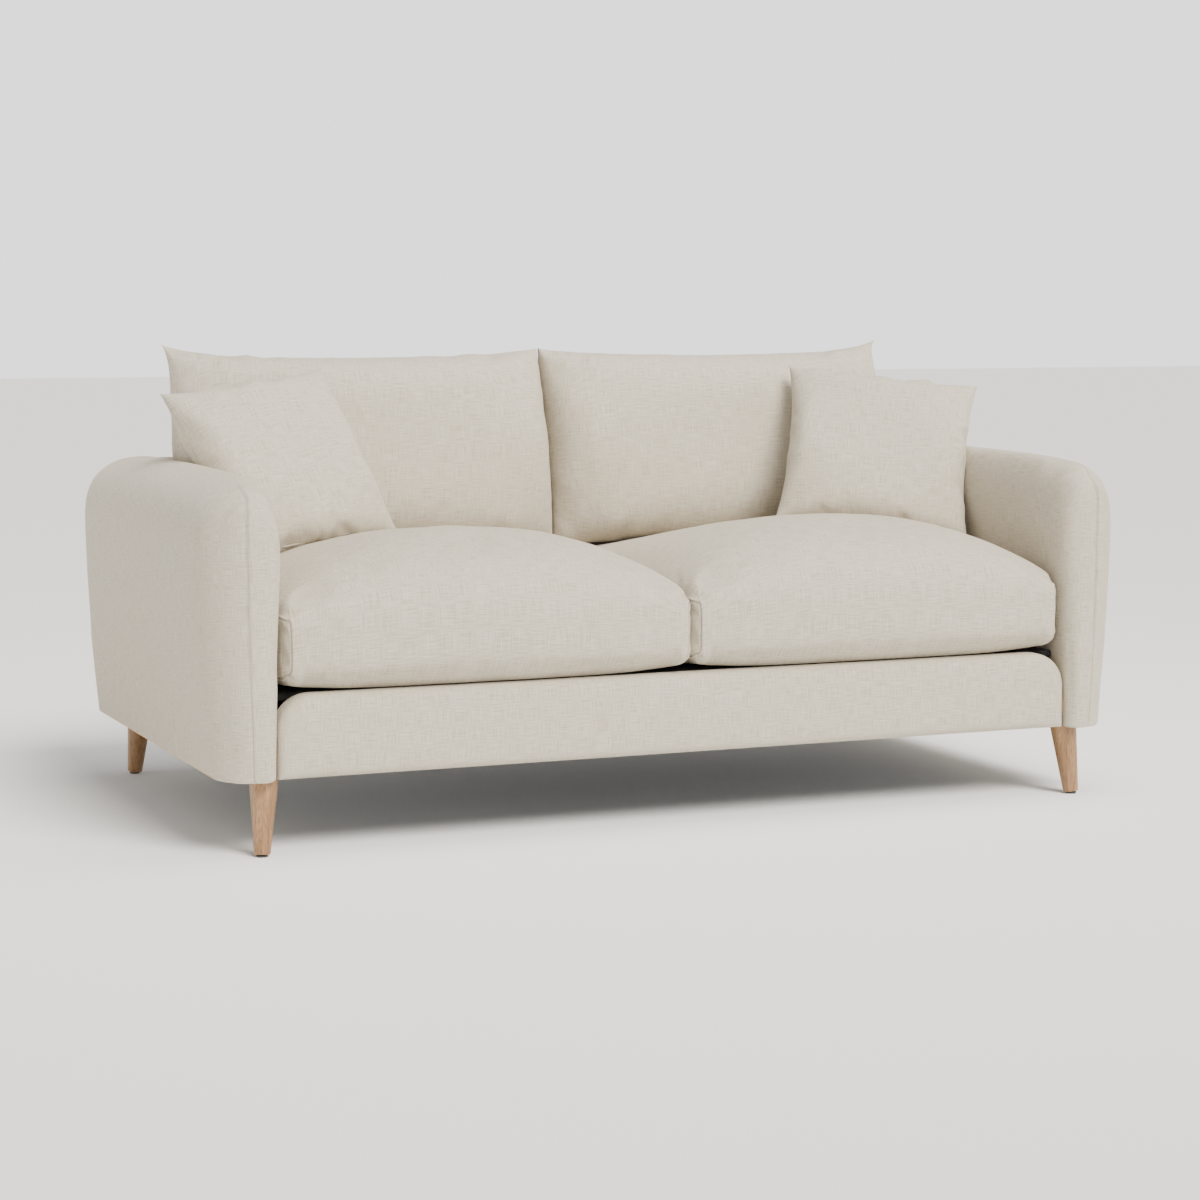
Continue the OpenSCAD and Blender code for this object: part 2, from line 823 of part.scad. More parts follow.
// Knife-edged cushion standing on its lower edge at the origin, taken in by e
module pillow(w, h, t, corner, edge, e) {
    r = corner - e;
    hull() {
        for (x = [-w / 2 + corner, w / 2 - corner]) for (z = [corner, h - corner])
            translate([x, 0, z]) rotate([90, 0, 0]) cylinder(r = r, h = edge - 2 * e, center = true);
        translate([0, 0, 0.47 * h])
            scale([0.44 * w - e, t / 2 - e, 0.40 * h - e]) sphere(r = 1, $fn = 28);
    }
}

// Zip set into the lower edge of such a cushion
module pillow_zip(w, edge, gap) {
    len = zip_share * w + 2 * gap;
    translate([-len / 2, -edge / 4 - gap, -gap])
        cube([len, edge / 2 + 2 * gap, cover_t + 2 * gap]);
}

module pillow_cover(w, h, t, corner, edge) {
    color(fabric)
        difference() {
            pillow(w, h, t, corner, edge, 0);
            pillow(w, h, t, corner, edge, skin);
            pillow_zip(w, edge, zip_gap);
        }
}

back_edge = 40;
back_corner = 40;
module at_back_cushion(s) {
    mirror([s, 0, 0]) translate(back_cushion_at) rotate([-back_cushion_lean, 0, 0]) children();
}
module back_fill(s) {
    color(foam)
        at_back_cushion(s)
            pillow(cushion_w, back_cushion_h, back_cushion_t, back_corner, back_edge, skin + fill_gap);
}
module back_cushion_cover(s) {
    at_back_cushion(s) pillow_cover(cushion_w, back_cushion_h, back_cushion_t, back_corner, back_edge);
}
module back_zip(s) {
    color(dark_cloth) at_back_cushion(s) pillow_zip(cushion_w, back_edge, 0);
}
module back_fill_right() { back_fill(0); }
module back_cushion_cover_right() { back_cushion_cover(0); }
module back_zip_right() { back_zip(0); }
module back_fill_left() { back_fill(1); }
module back_cushion_cover_left() { back_cushion_cover(1); }
module back_zip_left() { back_zip(1); }

scatter_edge = 26;
scatter_corner = 26;
module at_scatter(at, turn) {
    translate(at)
        rotate([0, 0, turn[0]]) rotate([turn[1], 0, 0]) rotate([0, turn[2], 0])
            translate([0, 0, -scatter_w / 2]) children();
}
module scatter_fill() {
    color(foam)
        pillow(scatter_w, scatter_w, scatter_t, scatter_corner, scatter_edge, skin + fill_gap);
}
module scatter_cover() {
    pillow_cover(scatter_w, scatter_w, scatter_t, scatter_corner, scatter_edge);
}
module scatter_zip() { color(dark_cloth) pillow_zip(scatter_w, scatter_edge, 0); }
module scatter_fill_right() { at_scatter(scatter_right_at, scatter_right_turn) scatter_fill(); }
module scatter_cover_right() { at_scatter(scatter_right_at, scatter_right_turn) scatter_cover(); }
module scatter_zip_right() { at_scatter(scatter_right_at, scatter_right_turn) scatter_zip(); }
module scatter_fill_left() { at_scatter(scatter_left_at, scatter_left_turn) scatter_fill(); }
module scatter_cover_left() { at_scatter(scatter_left_at, scatter_left_turn) scatter_cover(); }
module scatter_zip_left() { at_scatter(scatter_left_at, scatter_left_turn) scatter_zip(); }

// ---------------------------------------------------------------- nodes

leg_front_left();
leg_front_right();
leg_rear_left();
leg_rear_right();
leg_glides();
leg_bolts();
corner_blocks();
dust_cover();
front_seat_rail();
rear_seat_rail();
centre_rail();
side_rails();
base_boards();
seat_springs();
spring_clips();
tie_wires();
deck_pad();
deck_cloth();
front_rail_foam();
front_rail_cover();
arm_front_post_left();
arm_rear_post_left();
arm_top_rail_left();
arm_panels_left();
arm_foam_left();
arm_cover_left();
arm_front_post_right();
arm_rear_post_right();
arm_top_rail_right();
arm_panels_right();
arm_foam_right();
arm_cover_right();
rear_base_rail();
back_posts();
back_top_rail();
back_webbing();
back_panel();
back_pad();
back_cover();
arm_bolts();
seat_core_left();
seat_cover_left();
seat_zip_left();
seat_core_right();
seat_cover_right();
seat_zip_right();
back_fill_left();
back_cushion_cover_left();
back_zip_left();
back_fill_right();
back_cushion_cover_right();
back_zip_right();
scatter_fill_left();
scatter_cover_left();
scatter_zip_left();
scatter_fill_right();
scatter_cover_right();
scatter_zip_right();
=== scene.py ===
"""Two-seat sofa with flared, rolled arms, loose cushions and splayed oak legs.

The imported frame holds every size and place. This file dresses it: covers are blocks of
quads bent to the upholstery's form, cushions are sewn panels filled by cloth simulation,
and each finish is a node material.
"""

import json
import logging
import math
from collections.abc import Sequence
from dataclasses import dataclass, field
from enum import Enum

import bmesh
import bpy
import numpy as np
from mathutils import Euler, Matrix, Vector, noise


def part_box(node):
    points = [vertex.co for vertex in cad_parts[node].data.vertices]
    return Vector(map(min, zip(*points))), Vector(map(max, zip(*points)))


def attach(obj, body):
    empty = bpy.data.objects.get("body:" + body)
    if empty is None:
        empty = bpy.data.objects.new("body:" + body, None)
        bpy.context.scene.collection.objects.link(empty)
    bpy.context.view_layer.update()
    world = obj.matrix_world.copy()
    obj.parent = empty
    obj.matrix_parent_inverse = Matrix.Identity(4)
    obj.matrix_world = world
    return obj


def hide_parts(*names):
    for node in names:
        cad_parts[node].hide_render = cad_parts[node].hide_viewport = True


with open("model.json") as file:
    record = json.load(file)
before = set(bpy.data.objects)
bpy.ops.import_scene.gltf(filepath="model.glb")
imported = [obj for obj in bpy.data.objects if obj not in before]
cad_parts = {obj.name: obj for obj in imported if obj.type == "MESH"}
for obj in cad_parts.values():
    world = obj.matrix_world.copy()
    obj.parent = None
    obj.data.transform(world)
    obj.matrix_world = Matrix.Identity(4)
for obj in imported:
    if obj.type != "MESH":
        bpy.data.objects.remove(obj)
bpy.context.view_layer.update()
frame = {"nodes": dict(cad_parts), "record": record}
LOG = logging.getLogger("sofa")
MM = 0.001
Point = tuple[float, float, float]


# ------------------------------------------------------------------ small tools


def srgb(code: str, alpha: float = 1.0) -> tuple[float, float, float, float]:
    """Turn an sRGB hex colour into linear values.

    Args:
        code: Colour such as "#d8d2c6".
        alpha: Opacity from 0 to 1.

    Returns:
        Linear red, green, blue and alpha.
    """
    parts = [int(code[i : i + 2], 16) / 255 for i in (1, 3, 5)]
    lin = [p / 12.92 if p <= 0.04045 else ((p + 0.055) / 1.055) ** 2.4 for p in parts]
    return lin[0], lin[1], lin[2], alpha


def smooth(t: float) -> float:
    """Ease from 0 to 1 as t goes from 0 to 1."""
    t = min(1.0, max(0.0, t))
    return t * t * (3 - 2 * t)


def span(low: float, high: float, step: float) -> list[float]:
    """List evenly spaced cuts between two ends, ends left out.

    Args:
        low: First end.
        high: Second end.
        step: Largest distance between cuts.

    Returns:
        The cuts' positions.
    """
    count = max(1, math.ceil((high - low) / step))
    return [low + (high - low) * i / count for i in range(1, count)]


def round_corner(a: float, b: float, power: float = 2.0) -> tuple[float, float]:
    """Bend a square corner into a round one.

    Args:
        a: Share of the way to the corner along one edge, 0 to 1.
        b: Share of the way to the corner along the other edge.
        power: 2 for a circle, more for a squarer corner.

    Returns:
        Both shares on the rounded corner.
    """
    if a <= 0 or b <= 0:
        return a, b
    k = max(a, b) / (a**power + b**power) ** (1 / power)
    return a * k, b * k


def roll_edge(
    p: float, q: float, r: float, r_q: float | None = None, power: float = 2.0
) -> tuple[float, float]:
    """Roll the edge between two faces of a block.

    Args:
        p: Distance from the first face.
        q: Distance from the second face.
        r: Reach of the roll from the first face in metres.
        r_q: Reach from the second face, if it differs.
        power: 2 for a circle, more for a squarer roll.

    Returns:
        Both distances on the rolled edge.
    """
    r_q = r if r_q is None else r_q
    a, b = round_corner(max(0.0, 1 - p / r), max(0.0, 1 - q / r_q), power)
    return (r * (1 - a), r_q * (1 - b)) if a > 0 and b > 0 else (p, q)


def block(low: Point, high: Point, cuts: Sequence[Sequence[float]]) -> bmesh.types.BMesh:
    """Make a closed block whose faces are cut into a grid, with its weave coordinates.

    Args:
        low: Lowest corner in metres.
        high: Highest corner.
        cuts: Positions of the cutting planes along X, Y and Z.

    Returns:
        The block, with UV layer "weave" in metres along each face.
    """
    bm = bmesh.new()
    bmesh.ops.create_cube(bm, size=1.0)
    size = Vector(high) - Vector(low)
    bmesh.ops.scale(bm, vec=size, verts=bm.verts)
    bmesh.ops.translate(bm, vec=(Vector(high) + Vector(low)) / 2, verts=bm.verts)
    for axis in range(3):
        normal = Vector((axis == 0, axis == 1, axis == 2))
        for cut in cuts[axis]:
            geometry = bm.verts[:] + bm.edges[:] + bm.faces[:]
            bmesh.ops.bisect_plane(bm, geom=geometry, plane_co=normal * cut, plane_no=normal)
    weave = bm.loops.layers.uv.new("weave")
    for face in bm.faces:
        face.smooth = True
        n = face.normal
        across = max(range(3), key=lambda i: abs(n[i]))
        u, v = [(1, 2), (0, 2), (0, 1)][across]
        for loop in face.loops:
            loop[weave].uv = (loop.vert.co[u], loop.vert.co[v])
    return bm


def soften(bm: bmesh.types.BMesh, verts: list[bmesh.types.BMVert], passes: int) -> None:
    """Smooth some vertices towards their neighbours.

    Args:
        bm: The geometry.
        verts: The vertices to smooth.
        passes: How many times.
    """
    for _ in range(passes):
        bmesh.ops.smooth_vert(
            bm, verts=verts, factor=0.5, use_axis_x=True, use_axis_y=True, use_axis_z=True
        )


def mirror(bm: bmesh.types.BMesh) -> None:
    """Turn a right-hand piece into a left-hand one."""
    bmesh.ops.scale(bm, vec=(-1, 1, 1), verts=bm.verts)
    bmesh.ops.reverse_faces(bm, faces=bm.faces)


def finish_mesh(
    bm: bmesh.types.BMesh,
    name: str,
    material: bpy.types.Material,
    body: str,
    replaced: Sequence[str] = (),
    levels: int = 0,
) -> bpy.types.Object:
    """Turn a bmesh into a finished piece that rides on a body.

    Args:
        bm: The geometry, in row-frame metres; it is freed.
        name: The piece's name.
        material: Its finish.
        body: The CAD body it moves with.
        replaced: CAD nodes that the piece stands for.
        levels: Subdivision levels.

    Returns:
        The new object.
    """
    mesh = bpy.data.meshes.new(name)
    bm.to_mesh(mesh)
    bm.free()
    mesh.materials.append(material)
    piece = bpy.data.objects.new(name, mesh)
    bpy.context.scene.collection.objects.link(piece)
    if levels:
        soften = piece.modifiers.new("soften", "SUBSURF")
        soften.levels = soften.render_levels = levels
    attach(piece, body)
    if replaced:
        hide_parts(*replaced)
    LOG.info("%s: %d faces on %s", name, len(mesh.polygons), body)
    return piece


def add_node(
    tree: bpy.types.NodeTree, kind: str, inputs: dict | None = None, **settings: object
) -> bpy.types.Node:
    """Add a node with its settings, values and links.

    Args:
        tree: The node tree.
        kind: The node's type.
        inputs: Socket name or index to a value or an output socket to link.
        **settings: Properties of the node.

    Returns:
        The new node.
    """
    node = tree.nodes.new(kind)
    for key, value in settings.items():
        setattr(node, key, value)
    for key, value in (inputs or {}).items():
        if isinstance(value, bpy.types.NodeSocket):
            tree.links.new(value, node.inputs[key])
        else:
            node.inputs[key].default_value = value
    return node


def start_material(
    name: str, values: dict
) -> tuple[bpy.types.Material, bpy.types.NodeTree, bpy.types.Node]:
    """Start a node material with only its shader.

    Args:
        name: The material's name.
        values: Shader socket name to its uniform value.

    Returns:
        The material, its tree and its Principled shader.
    """
    material = bpy.data.materials.new(name)
    material.use_nodes = True
    tree = material.node_tree
    tree.nodes.clear()
    shader = add_node(tree, "ShaderNodeBsdfPrincipled", values)
    add_node(tree, "ShaderNodeOutputMaterial", {"Surface": shader.outputs[0]})
    return material, tree, shader


def add_relief(
    tree: bpy.types.NodeTree,
    shader: bpy.types.Node,
    height: bpy.types.NodeSocket,
    strength: float,
    relief_mm: float,
    sunken: bool = False,
) -> None:
    """Give a shader the small relief of a pattern.

    Args:
        tree: The node tree.
        shader: Its shader.
        height: The pattern.
        strength: Share of the relief that shows.
        relief_mm: Depth of the pattern in millimetres.
        sunken: True where the pattern's bright parts are pits.
    """
    relief = add_node(
        tree, "ShaderNodeBump",
        {"Height": height, "Strength": strength, "Distance": relief_mm * MM}, invert=sunken,
    )
    tree.links.new(relief.outputs[0], shader.inputs["Normal"])


def set_ramp(node: bpy.types.Node, stops: Sequence[tuple[float, str]]) -> None:
    """Give a colour ramp its stops.

    Args:
        node: The ramp node.
        stops: Position and sRGB hex colour of each stop.
    """
    ramp = node.color_ramp
    while len(ramp.elements) < len(stops):
        ramp.elements.new(0.5)
    for element, (position, code) in zip(ramp.elements, stops):
        element.position = position
        element.color = srgb(code)


# ------------------------------------------------------------------ finishes


@dataclass(frozen=True)
class WovenCloth:
    """Plain-woven cloth spun from uneven yarn: matt, with faint crossing slubs.

    The yarn lies 0.9 mm apart; it is drawn at yarn_mm so that it shows at viewing distance.
    """

    name: str
    ground: str
    light: str
    dark: str
    # Colour of the painted shade along the seams, where their grooves lie in shadow.
    seam_shadow_colour: str = "#6f675b"
    yarn_mm: float = 1.4
    slub_mm: float = 1.15
    slub_length_mm: float = 34.0
    slub_contrast: float = 0.34
    relief_mm: float = 0.35
    roughness: float = 0.92
    sheen: float = 0.22

    def streaks(
        self, tree: bpy.types.NodeTree, uv: bpy.types.NodeSocket, along: int, seed: float
    ) -> bpy.types.NodeSocket:
        """Draw the uneven thickness of the yarns that run one way.

        Args:
            tree: The node tree.
            uv: Weave coordinates in metres.
            along: 0 for weft along U, 1 for warp along V.
            seed: Offset that makes this set of yarns differ.

        Returns:
            A socket that varies from 0 to 1.
        """
        length, thickness = self.slub_length_mm * MM, self.slub_mm * MM
        scale = (1 / length, 1 / thickness, 1) if along == 0 else (1 / thickness, 1 / length, 1)
        place = add_node(
            tree, "ShaderNodeMapping", {"Vector": uv, "Scale": scale, "Location": (seed, seed, 0)}
        ).outputs[0]
        return add_node(
            tree, "ShaderNodeTexNoise",
            {"Vector": place, "Scale": 1.0, "Detail": 2.0, "Roughness": 0.55},
            noise_dimensions="2D",
        ).outputs[0]

    def make(self) -> bpy.types.Material:
        """Build the material."""
        material, tree, shader = start_material(self.name, {
            "Roughness": self.roughness, "Specular IOR Level": 0.25, "Sheen Weight": self.sheen,
            "Sheen Roughness": 0.45, "Sheen Tint": srgb("#f3efe6"),
        })
        uv = add_node(tree, "ShaderNodeUVMap", uv_map="weave").outputs[0]
        weft = self.streaks(tree, uv, 0, 3.1)
        warp = self.streaks(tree, uv, 1, 7.7)
        slubs = add_node(
            tree, "ShaderNodeMath", {0: weft, 1: warp}, operation="ADD"
        ).outputs[0]
        # The wave texture's bands repeat every pi / 10 of its own units.
        ratio = math.pi / 10 / (2 * self.yarn_mm * MM)
        grid = add_node(
            tree, "ShaderNodeMapping", {"Vector": uv, "Scale": (ratio, ratio, ratio)}
        ).outputs[0]
        centred = []
        for way in ("X", "Y"):
            bands = add_node(
                tree, "ShaderNodeTexWave",
                {"Vector": grid, "Scale": 1.0, "Distortion": 0.6, "Detail": 1.0},
                wave_type="BANDS", bands_direction=way,
            ).outputs["Fac"]
            centred.append(add_node(
                tree, "ShaderNodeMath", {0: bands, 1: 0.5}, operation="SUBTRACT"
            ).outputs[0])
        crossing = add_node(
            tree, "ShaderNodeMath", dict(enumerate(centred)), operation="MULTIPLY"
        ).outputs[0]
        tone = add_node(
            tree, "ShaderNodeMath", {0: crossing, 1: 0.5, 2: slubs}, operation="MULTIPLY_ADD"
        ).outputs[0]
        least, most = 1 - self.slub_contrast, 1 + self.slub_contrast
        level = add_node(
            tree, "ShaderNodeMapRange", {"Value": tone, "From Min": least, "From Max": most}
        ).outputs[0]
        ramp = add_node(tree, "ShaderNodeValToRGB", {"Fac": level})
        set_ramp(ramp, [(0.0, self.dark), (0.5, self.ground), (1.0, self.light)])
        # Painted shade: the seam attribute mixes the weave towards a shadow colour along the
        # seams.
        seam = add_node(tree, "ShaderNodeAttribute", attribute_name="seam").outputs["Fac"]
        joined = add_node(
            tree, "ShaderNodeMix", {0: seam, 6: ramp.outputs[0], 7: srgb(self.seam_shadow_colour)},
            data_type="RGBA",
        ).outputs[2]
        tree.links.new(joined, shader.inputs["Base Color"])
        height = add_node(
            tree, "ShaderNodeMath", {0: slubs, 1: 0.5, 2: crossing}, operation="MULTIPLY_ADD"
        ).outputs[0]
        add_relief(tree, shader, height, 0.55, self.relief_mm)
        return material


@dataclass(frozen=True)
class Timber:
    """Sawn or turned wood: straight grain along one axis, pores as short dark dashes."""

    name: str
    early: str
    late: str
    pore: str
    along: int = 2
    ring_mm: float = 5.0
    pore_mm: float = 0.7
    roughness: float = 0.5
    coat: float = 0.0

    def make(self) -> bpy.types.Material:
        """Build the material."""
        material, tree, shader = start_material(self.name, {
            "Roughness": self.roughness, "Coat Weight": self.coat, "Coat Roughness": 0.4,
        })
        place = add_node(tree, "ShaderNodeTexCoord").outputs["Object"]
        across = 1 / (self.ring_mm * MM)
        stretch = [across, across, across]
        stretch[self.along] = across / 14
        grain = add_node(
            tree, "ShaderNodeMapping", {"Vector": place, "Scale": stretch}
        ).outputs[0]
        rings = add_node(
            tree, "ShaderNodeTexNoise",
            {"Vector": grain, "Scale": 0.45, "Detail": 4.0, "Roughness": 0.6, "Distortion": 0.7},
        ).outputs[0]
        ramp = add_node(tree, "ShaderNodeValToRGB", {"Fac": rings})
        set_ramp(ramp, [(0.32, self.late), (0.68, self.early)])
        fine = 1 / (self.pore_mm * MM)
        dashes = [fine, fine, fine]
        dashes[self.along] = fine / 22
        pores = add_node(
            tree, "ShaderNodeMapping", {"Vector": place, "Scale": dashes}
        ).outputs[0]
        speck = add_node(
            tree, "ShaderNodeTexNoise",
            {"Vector": pores, "Scale": 0.8, "Detail": 2.0, "Roughness": 0.5},
        ).outputs[0]
        dark = add_node(
            tree, "ShaderNodeMapRange",
            {"Value": speck, "From Min": 0.52, "From Max": 0.68, "To Max": 0.75},
        ).outputs[0]
        wood = add_node(
            tree, "ShaderNodeMix", {0: dark, 6: ramp.outputs[0], 7: srgb(self.pore)},
            data_type="RGBA",
        ).outputs[2]
        tree.links.new(wood, shader.inputs["Base Color"])
        add_relief(tree, shader, speck, 0.25, 0.15, sunken=True)
        return material


@dataclass(frozen=True)
class Grained:
    """A plain substance with a fine random grain: foam, plated steel, moulded plastic, felt."""

    name: str
    light: str
    dark: str
    grain_mm: float
    relief_mm: float
    roughness: float
    metallic: float = 0.0
    stretch: Point = (1.0, 1.0, 1.0)

    def make(self) -> bpy.types.Material:
        """Build the material."""
        material, tree, shader = start_material(
            self.name, {"Roughness": self.roughness, "Metallic": self.metallic}
        )
        place = add_node(tree, "ShaderNodeTexCoord").outputs["Object"]
        scale = [s / (self.grain_mm * MM) for s in self.stretch]
        grain = add_node(
            tree, "ShaderNodeMapping", {"Vector": place, "Scale": scale}
        ).outputs[0]
        speck = add_node(
            tree, "ShaderNodeTexNoise",
            {"Vector": grain, "Scale": 1.0, "Detail": 3.0, "Roughness": 0.6},
        ).outputs[0]
        ramp = add_node(tree, "ShaderNodeValToRGB", {"Fac": speck})
        set_ramp(ramp, [(0.35, self.dark), (0.65, self.light)])
        tree.links.new(ramp.outputs[0], shader.inputs["Base Color"])
        add_relief(tree, shader, speck, 0.5, self.relief_mm)
        return material


class Finishes:
    """Every material of the sofa, made once."""

    def __init__(self) -> None:
        """Build the materials."""
        # Oatmeal linen-look weave: matt, with a faint bloom at grazing angles.
        self.cover = WovenCloth("linen_weave_oatmeal", "#bcb3a1", "#cac2b3", "#a69b87").make()
        # Natural oak under matt lacquer: long grain with short dark pores.
        self.oak = Timber(
            "oak_matt_lacquer", "#a8815a", "#7a5833", "#48301a", roughness=0.45, coat=0.15
        ).make()
        # Sawn softwood: pale, dry and dull, with wide rings.
        self.softwood = Timber(
            "softwood_sawn", "#dcc193", "#c19d68", "#a97f4c", along=0, ring_mm=9.0, roughness=0.75
        ).make()
        # Hardboard: dense brown fibre with a smooth pressed face.
        self.hardboard = Grained("hardboard_pressed", "#7d5a3c", "#5f4229", 1.2, 0.1, 0.6).make()
        # Cut polyurethane foam: cream, open-celled and fully matt.
        self.foam = Grained("foam_cut", "#efe3bd", "#d9c99b", 1.0, 0.5, 1.0).make()
        # Polyester fibre filling: white and fluffy.
        self.fibre = Grained("fibre_filling", "#f6f5f1", "#dddbd4", 3.0, 1.5, 1.0).make()
        # Zinc-plated steel: bright grey with a fine drawn grain.
        self.steel = Grained(
            "steel_zinc_plated", "#b9bcc0", "#94979c", 0.8, 0.03, 0.35, metallic=1.0
        ).make()
        # Non-woven base cloth: black, with a bonded fibre grain.
        self.base_cloth = Grained("base_cloth_black", "#1b1a19", "#0c0b0b", 0.9, 0.25, 0.95).make()
        # Elastic webbing: dark ribs across the band.
        self.webbing = Grained(
            "webbing_elastic", "#4a4238", "#2c2620", 1.6, 0.5, 0.9, stretch=(0.2, 1.0, 1.0)
        ).make()
        # Moulded nylon glide: dark grey with a light spark texture.
        self.nylon = Grained("nylon_moulded", "#3b3936", "#2b2927", 0.4, 0.04, 0.5).make()
        # Zip: tape in the cover's colour with a fine woven grain; the nylon coil is not drawn.
        self.zip_tape = Grained("zip_tape_woven", "#b9b1a2", "#968e80", 0.8, 0.3, 0.85).make()

    def dress_frame(self) -> None:
        """Give every carried-over CAD node the finish of its record slot."""
        by_slot = {
            "cover_fabric": self.cover, "oak": self.oak, "glide_plastic": self.nylon,
            "steel": self.steel, "frame_timber": self.softwood, "hardboard": self.hardboard,
            "foam": self.foam, "fibre_fill": self.fibre, "base_cloth": self.base_cloth,
            "webbing": self.webbing, "zip_tape": self.zip_tape,
        }
        for part in frame["record"]["subparts"]:
            node = frame["nodes"][part["node"]]
            material = by_slot[part["material_slot"]]
            if not node.data.materials:
                node.data.materials.append(material)
            for slot in node.material_slots:
                slot.material = material


# ------------------------------------------------------------------ upholstered frame


class Side(Enum):
    """Which half of the sofa a piece belongs to, seen from the front."""

    LEFT = -1
    RIGHT = 1

    @property
    def label(self) -> str:
        """The side's word in node names."""
        return self.name.lower()


@dataclass
class Arm:
    """One padded arm: leans outwards, swells to a roll and wraps round its front corner."""

    side: Side
    foot_inner: float = 0.801
    foot_outer: float = 0.901
    core_x: float = 0.822
    shoulder_inner: float = 0.52
    shoulder_outer: float = 0.54
    core_top: float = 0.56
    crest_rise: float = 0.002
    crest_dip: float = 0.020
    crest_run: float = 0.12
    front_outer_r: float = 0.085
    front_top_r: float = 0.052
    rear_outer_r: float = 0.050
    inner_r: float = 0.030
    rear_inner_r: float = 0.008
    hem_r: float = 0.007
    hem_tuck: float = 0.006
    front_swell: float = 0.005
    swell_from: float = 0.08
    softening: int = 24
    soft_above: float = 0.3
    soft_reach: float = 0.12
    seam_share: float = 0.304
    seam_fade: float = 0.10
    seam_mm: float = 1.9
    seam_sink_mm: float = 1.3
    seam_painted_shade: float = 0.38
    low: Vector = field(init=False)
    high: Vector = field(init=False)

    def __post_init__(self) -> None:
        """Read the arm's box from the frame, as a right-hand arm."""
        self.low, self.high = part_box("arm_cover_right")

    def outline(self, x: float, y: float, z: float) -> tuple[Vector, Vector, float]:
        """Find where a point of the plain block belongs in the arm's section.

        Args:
            x: Block coordinate across the arm.
            y: Block coordinate along it.
            z: Block coordinate up it.

        Returns:
            The point on the section's outline, the core point behind it, and the share
            of the way from the core to the outline.
        """
        outer = x > self.core_x
        full = (self.high.x if outer else self.low.x) - self.core_x
        u = abs((x - self.core_x) / full)
        end = min(y - self.low.y, self.high.y - y)
        crest = self.high.z + self.crest_rise
        top = crest - self.crest_dip * math.exp(-end / self.crest_run)
        shoulder = self.shoulder_outer if outer else self.shoulder_inner
        v = max(0.0, (z - shoulder) / (self.high.z - shoulder))
        share = max(u, v)
        if share <= 0:
            share = 1e-6
        # Nearer the core the section squares up, so that no quads fold there.
        power = (2.3 if outer else 2.0) / max(share, 0.2) ** 2
        a, b = round_corner(u / share, v / share, power) if v > 0 else (1.0, 0.0)
        level = shoulder + (top - shoulder) * b if v > 0 else z
        rise = (min(level, shoulder) - self.low.z) / (shoulder - self.low.z)
        if outer:
            edge = self.foot_outer + (self.high.x - self.foot_outer) * math.sin(rise * math.pi / 2)
        else:
            edge = self.foot_inner + (self.low.x - self.foot_inner) * rise**1.3
        at = Vector((self.core_x + (edge - self.core_x) * a, y, level))
        core = Vector((self.core_x, y, min(level, self.core_top)))
        return at, core, (share if v > 0 else u)

    def end_radius(self, at: Vector, core: Vector, front: bool) -> float:
        """Give the rounding of the arm's end in the direction of an outline point.

        Args:
            at: Point on the outline.
            core: Core point behind it.
            front: True for the front end.

        Returns:
            The radius in metres.
        """
        way = at - core
        way.y = 0
        way.normalize()
        outer_r = self.front_outer_r if front else self.rear_outer_r
        sideways = smooth(max(0.0, way.x))
        if way.x < 0:
            inner_r = self.inner_r if front else self.rear_inner_r
            return inner_r + (self.front_top_r - inner_r) * smooth(way.z)
        return self.front_top_r + (outer_r - self.front_top_r) * sideways

    def place(self, vert: bmesh.types.BMVert) -> None:
        """Bend one vertex of the block to the arm's form."""
        x, y, z = vert.co
        at, core, share = self.outline(x, y, z)
        reach = (at - core).length
        inward = (1 - share) * reach
        front = y - self.low.y < self.high.y - y
        depth = min(y - self.low.y, self.high.y - y)
        r = min(self.end_radius(at, core, front), reach)
        inward, depth = roll_edge(inward, depth, r)
        vert.co = at + (core - at) * (inward / reach)
        vert.co.y = self.low.y + depth if front else self.high.y - depth
        if front and y - self.low.y < 1e-6:
            middle = (1 - min(1.0, share) ** 3) * smooth((z - self.low.z) / self.swell_from)
            vert.co.y -= self.front_swell * middle
        hem = min(1.0, max(0.0, (self.low.z + self.hem_r - z) / self.hem_r))
        if hem > 0 and (share > 0.999 or depth < self.hem_r):
            tuck = self.hem_r * (1 - math.sqrt(1 - hem * hem))
            vert.co.x += math.copysign(min(tuck, self.hem_tuck), core.x - vert.co.x)

    def sew_seam(self, bm: bmesh.types.BMesh) -> None:
        """Sink the seam where the outer wrap meets the front panel, fading over the crest."""
        seam = bm.verts.layers.float.new("seam")
        line = self.core_x + self.seam_share * (self.high.x - self.core_x)
        bm.normal_update()
        for vert in bm.verts:
            start = vert[self.block_at]
            on_front = start.y < self.low.y + 1e-5
            on_top = start.z > self.high.z - 1e-5
            over = (start.y - self.low.y) / self.seam_fade if on_top else 9.0
            if not on_front and over > 1:
                continue
            gap = (start.x - line) / (self.seam_mm * MM)
            fade = 1.0 if on_front else 1 - smooth(over)
            dent = math.exp(-gap * gap) * fade
            vert.co -= vert.normal * (self.seam_sink_mm * MM * dent)
            # Painted shade: the seam's groove is also darkened in the colour, besides being sunk.
            vert[seam] = self.seam_painted_shade * dent

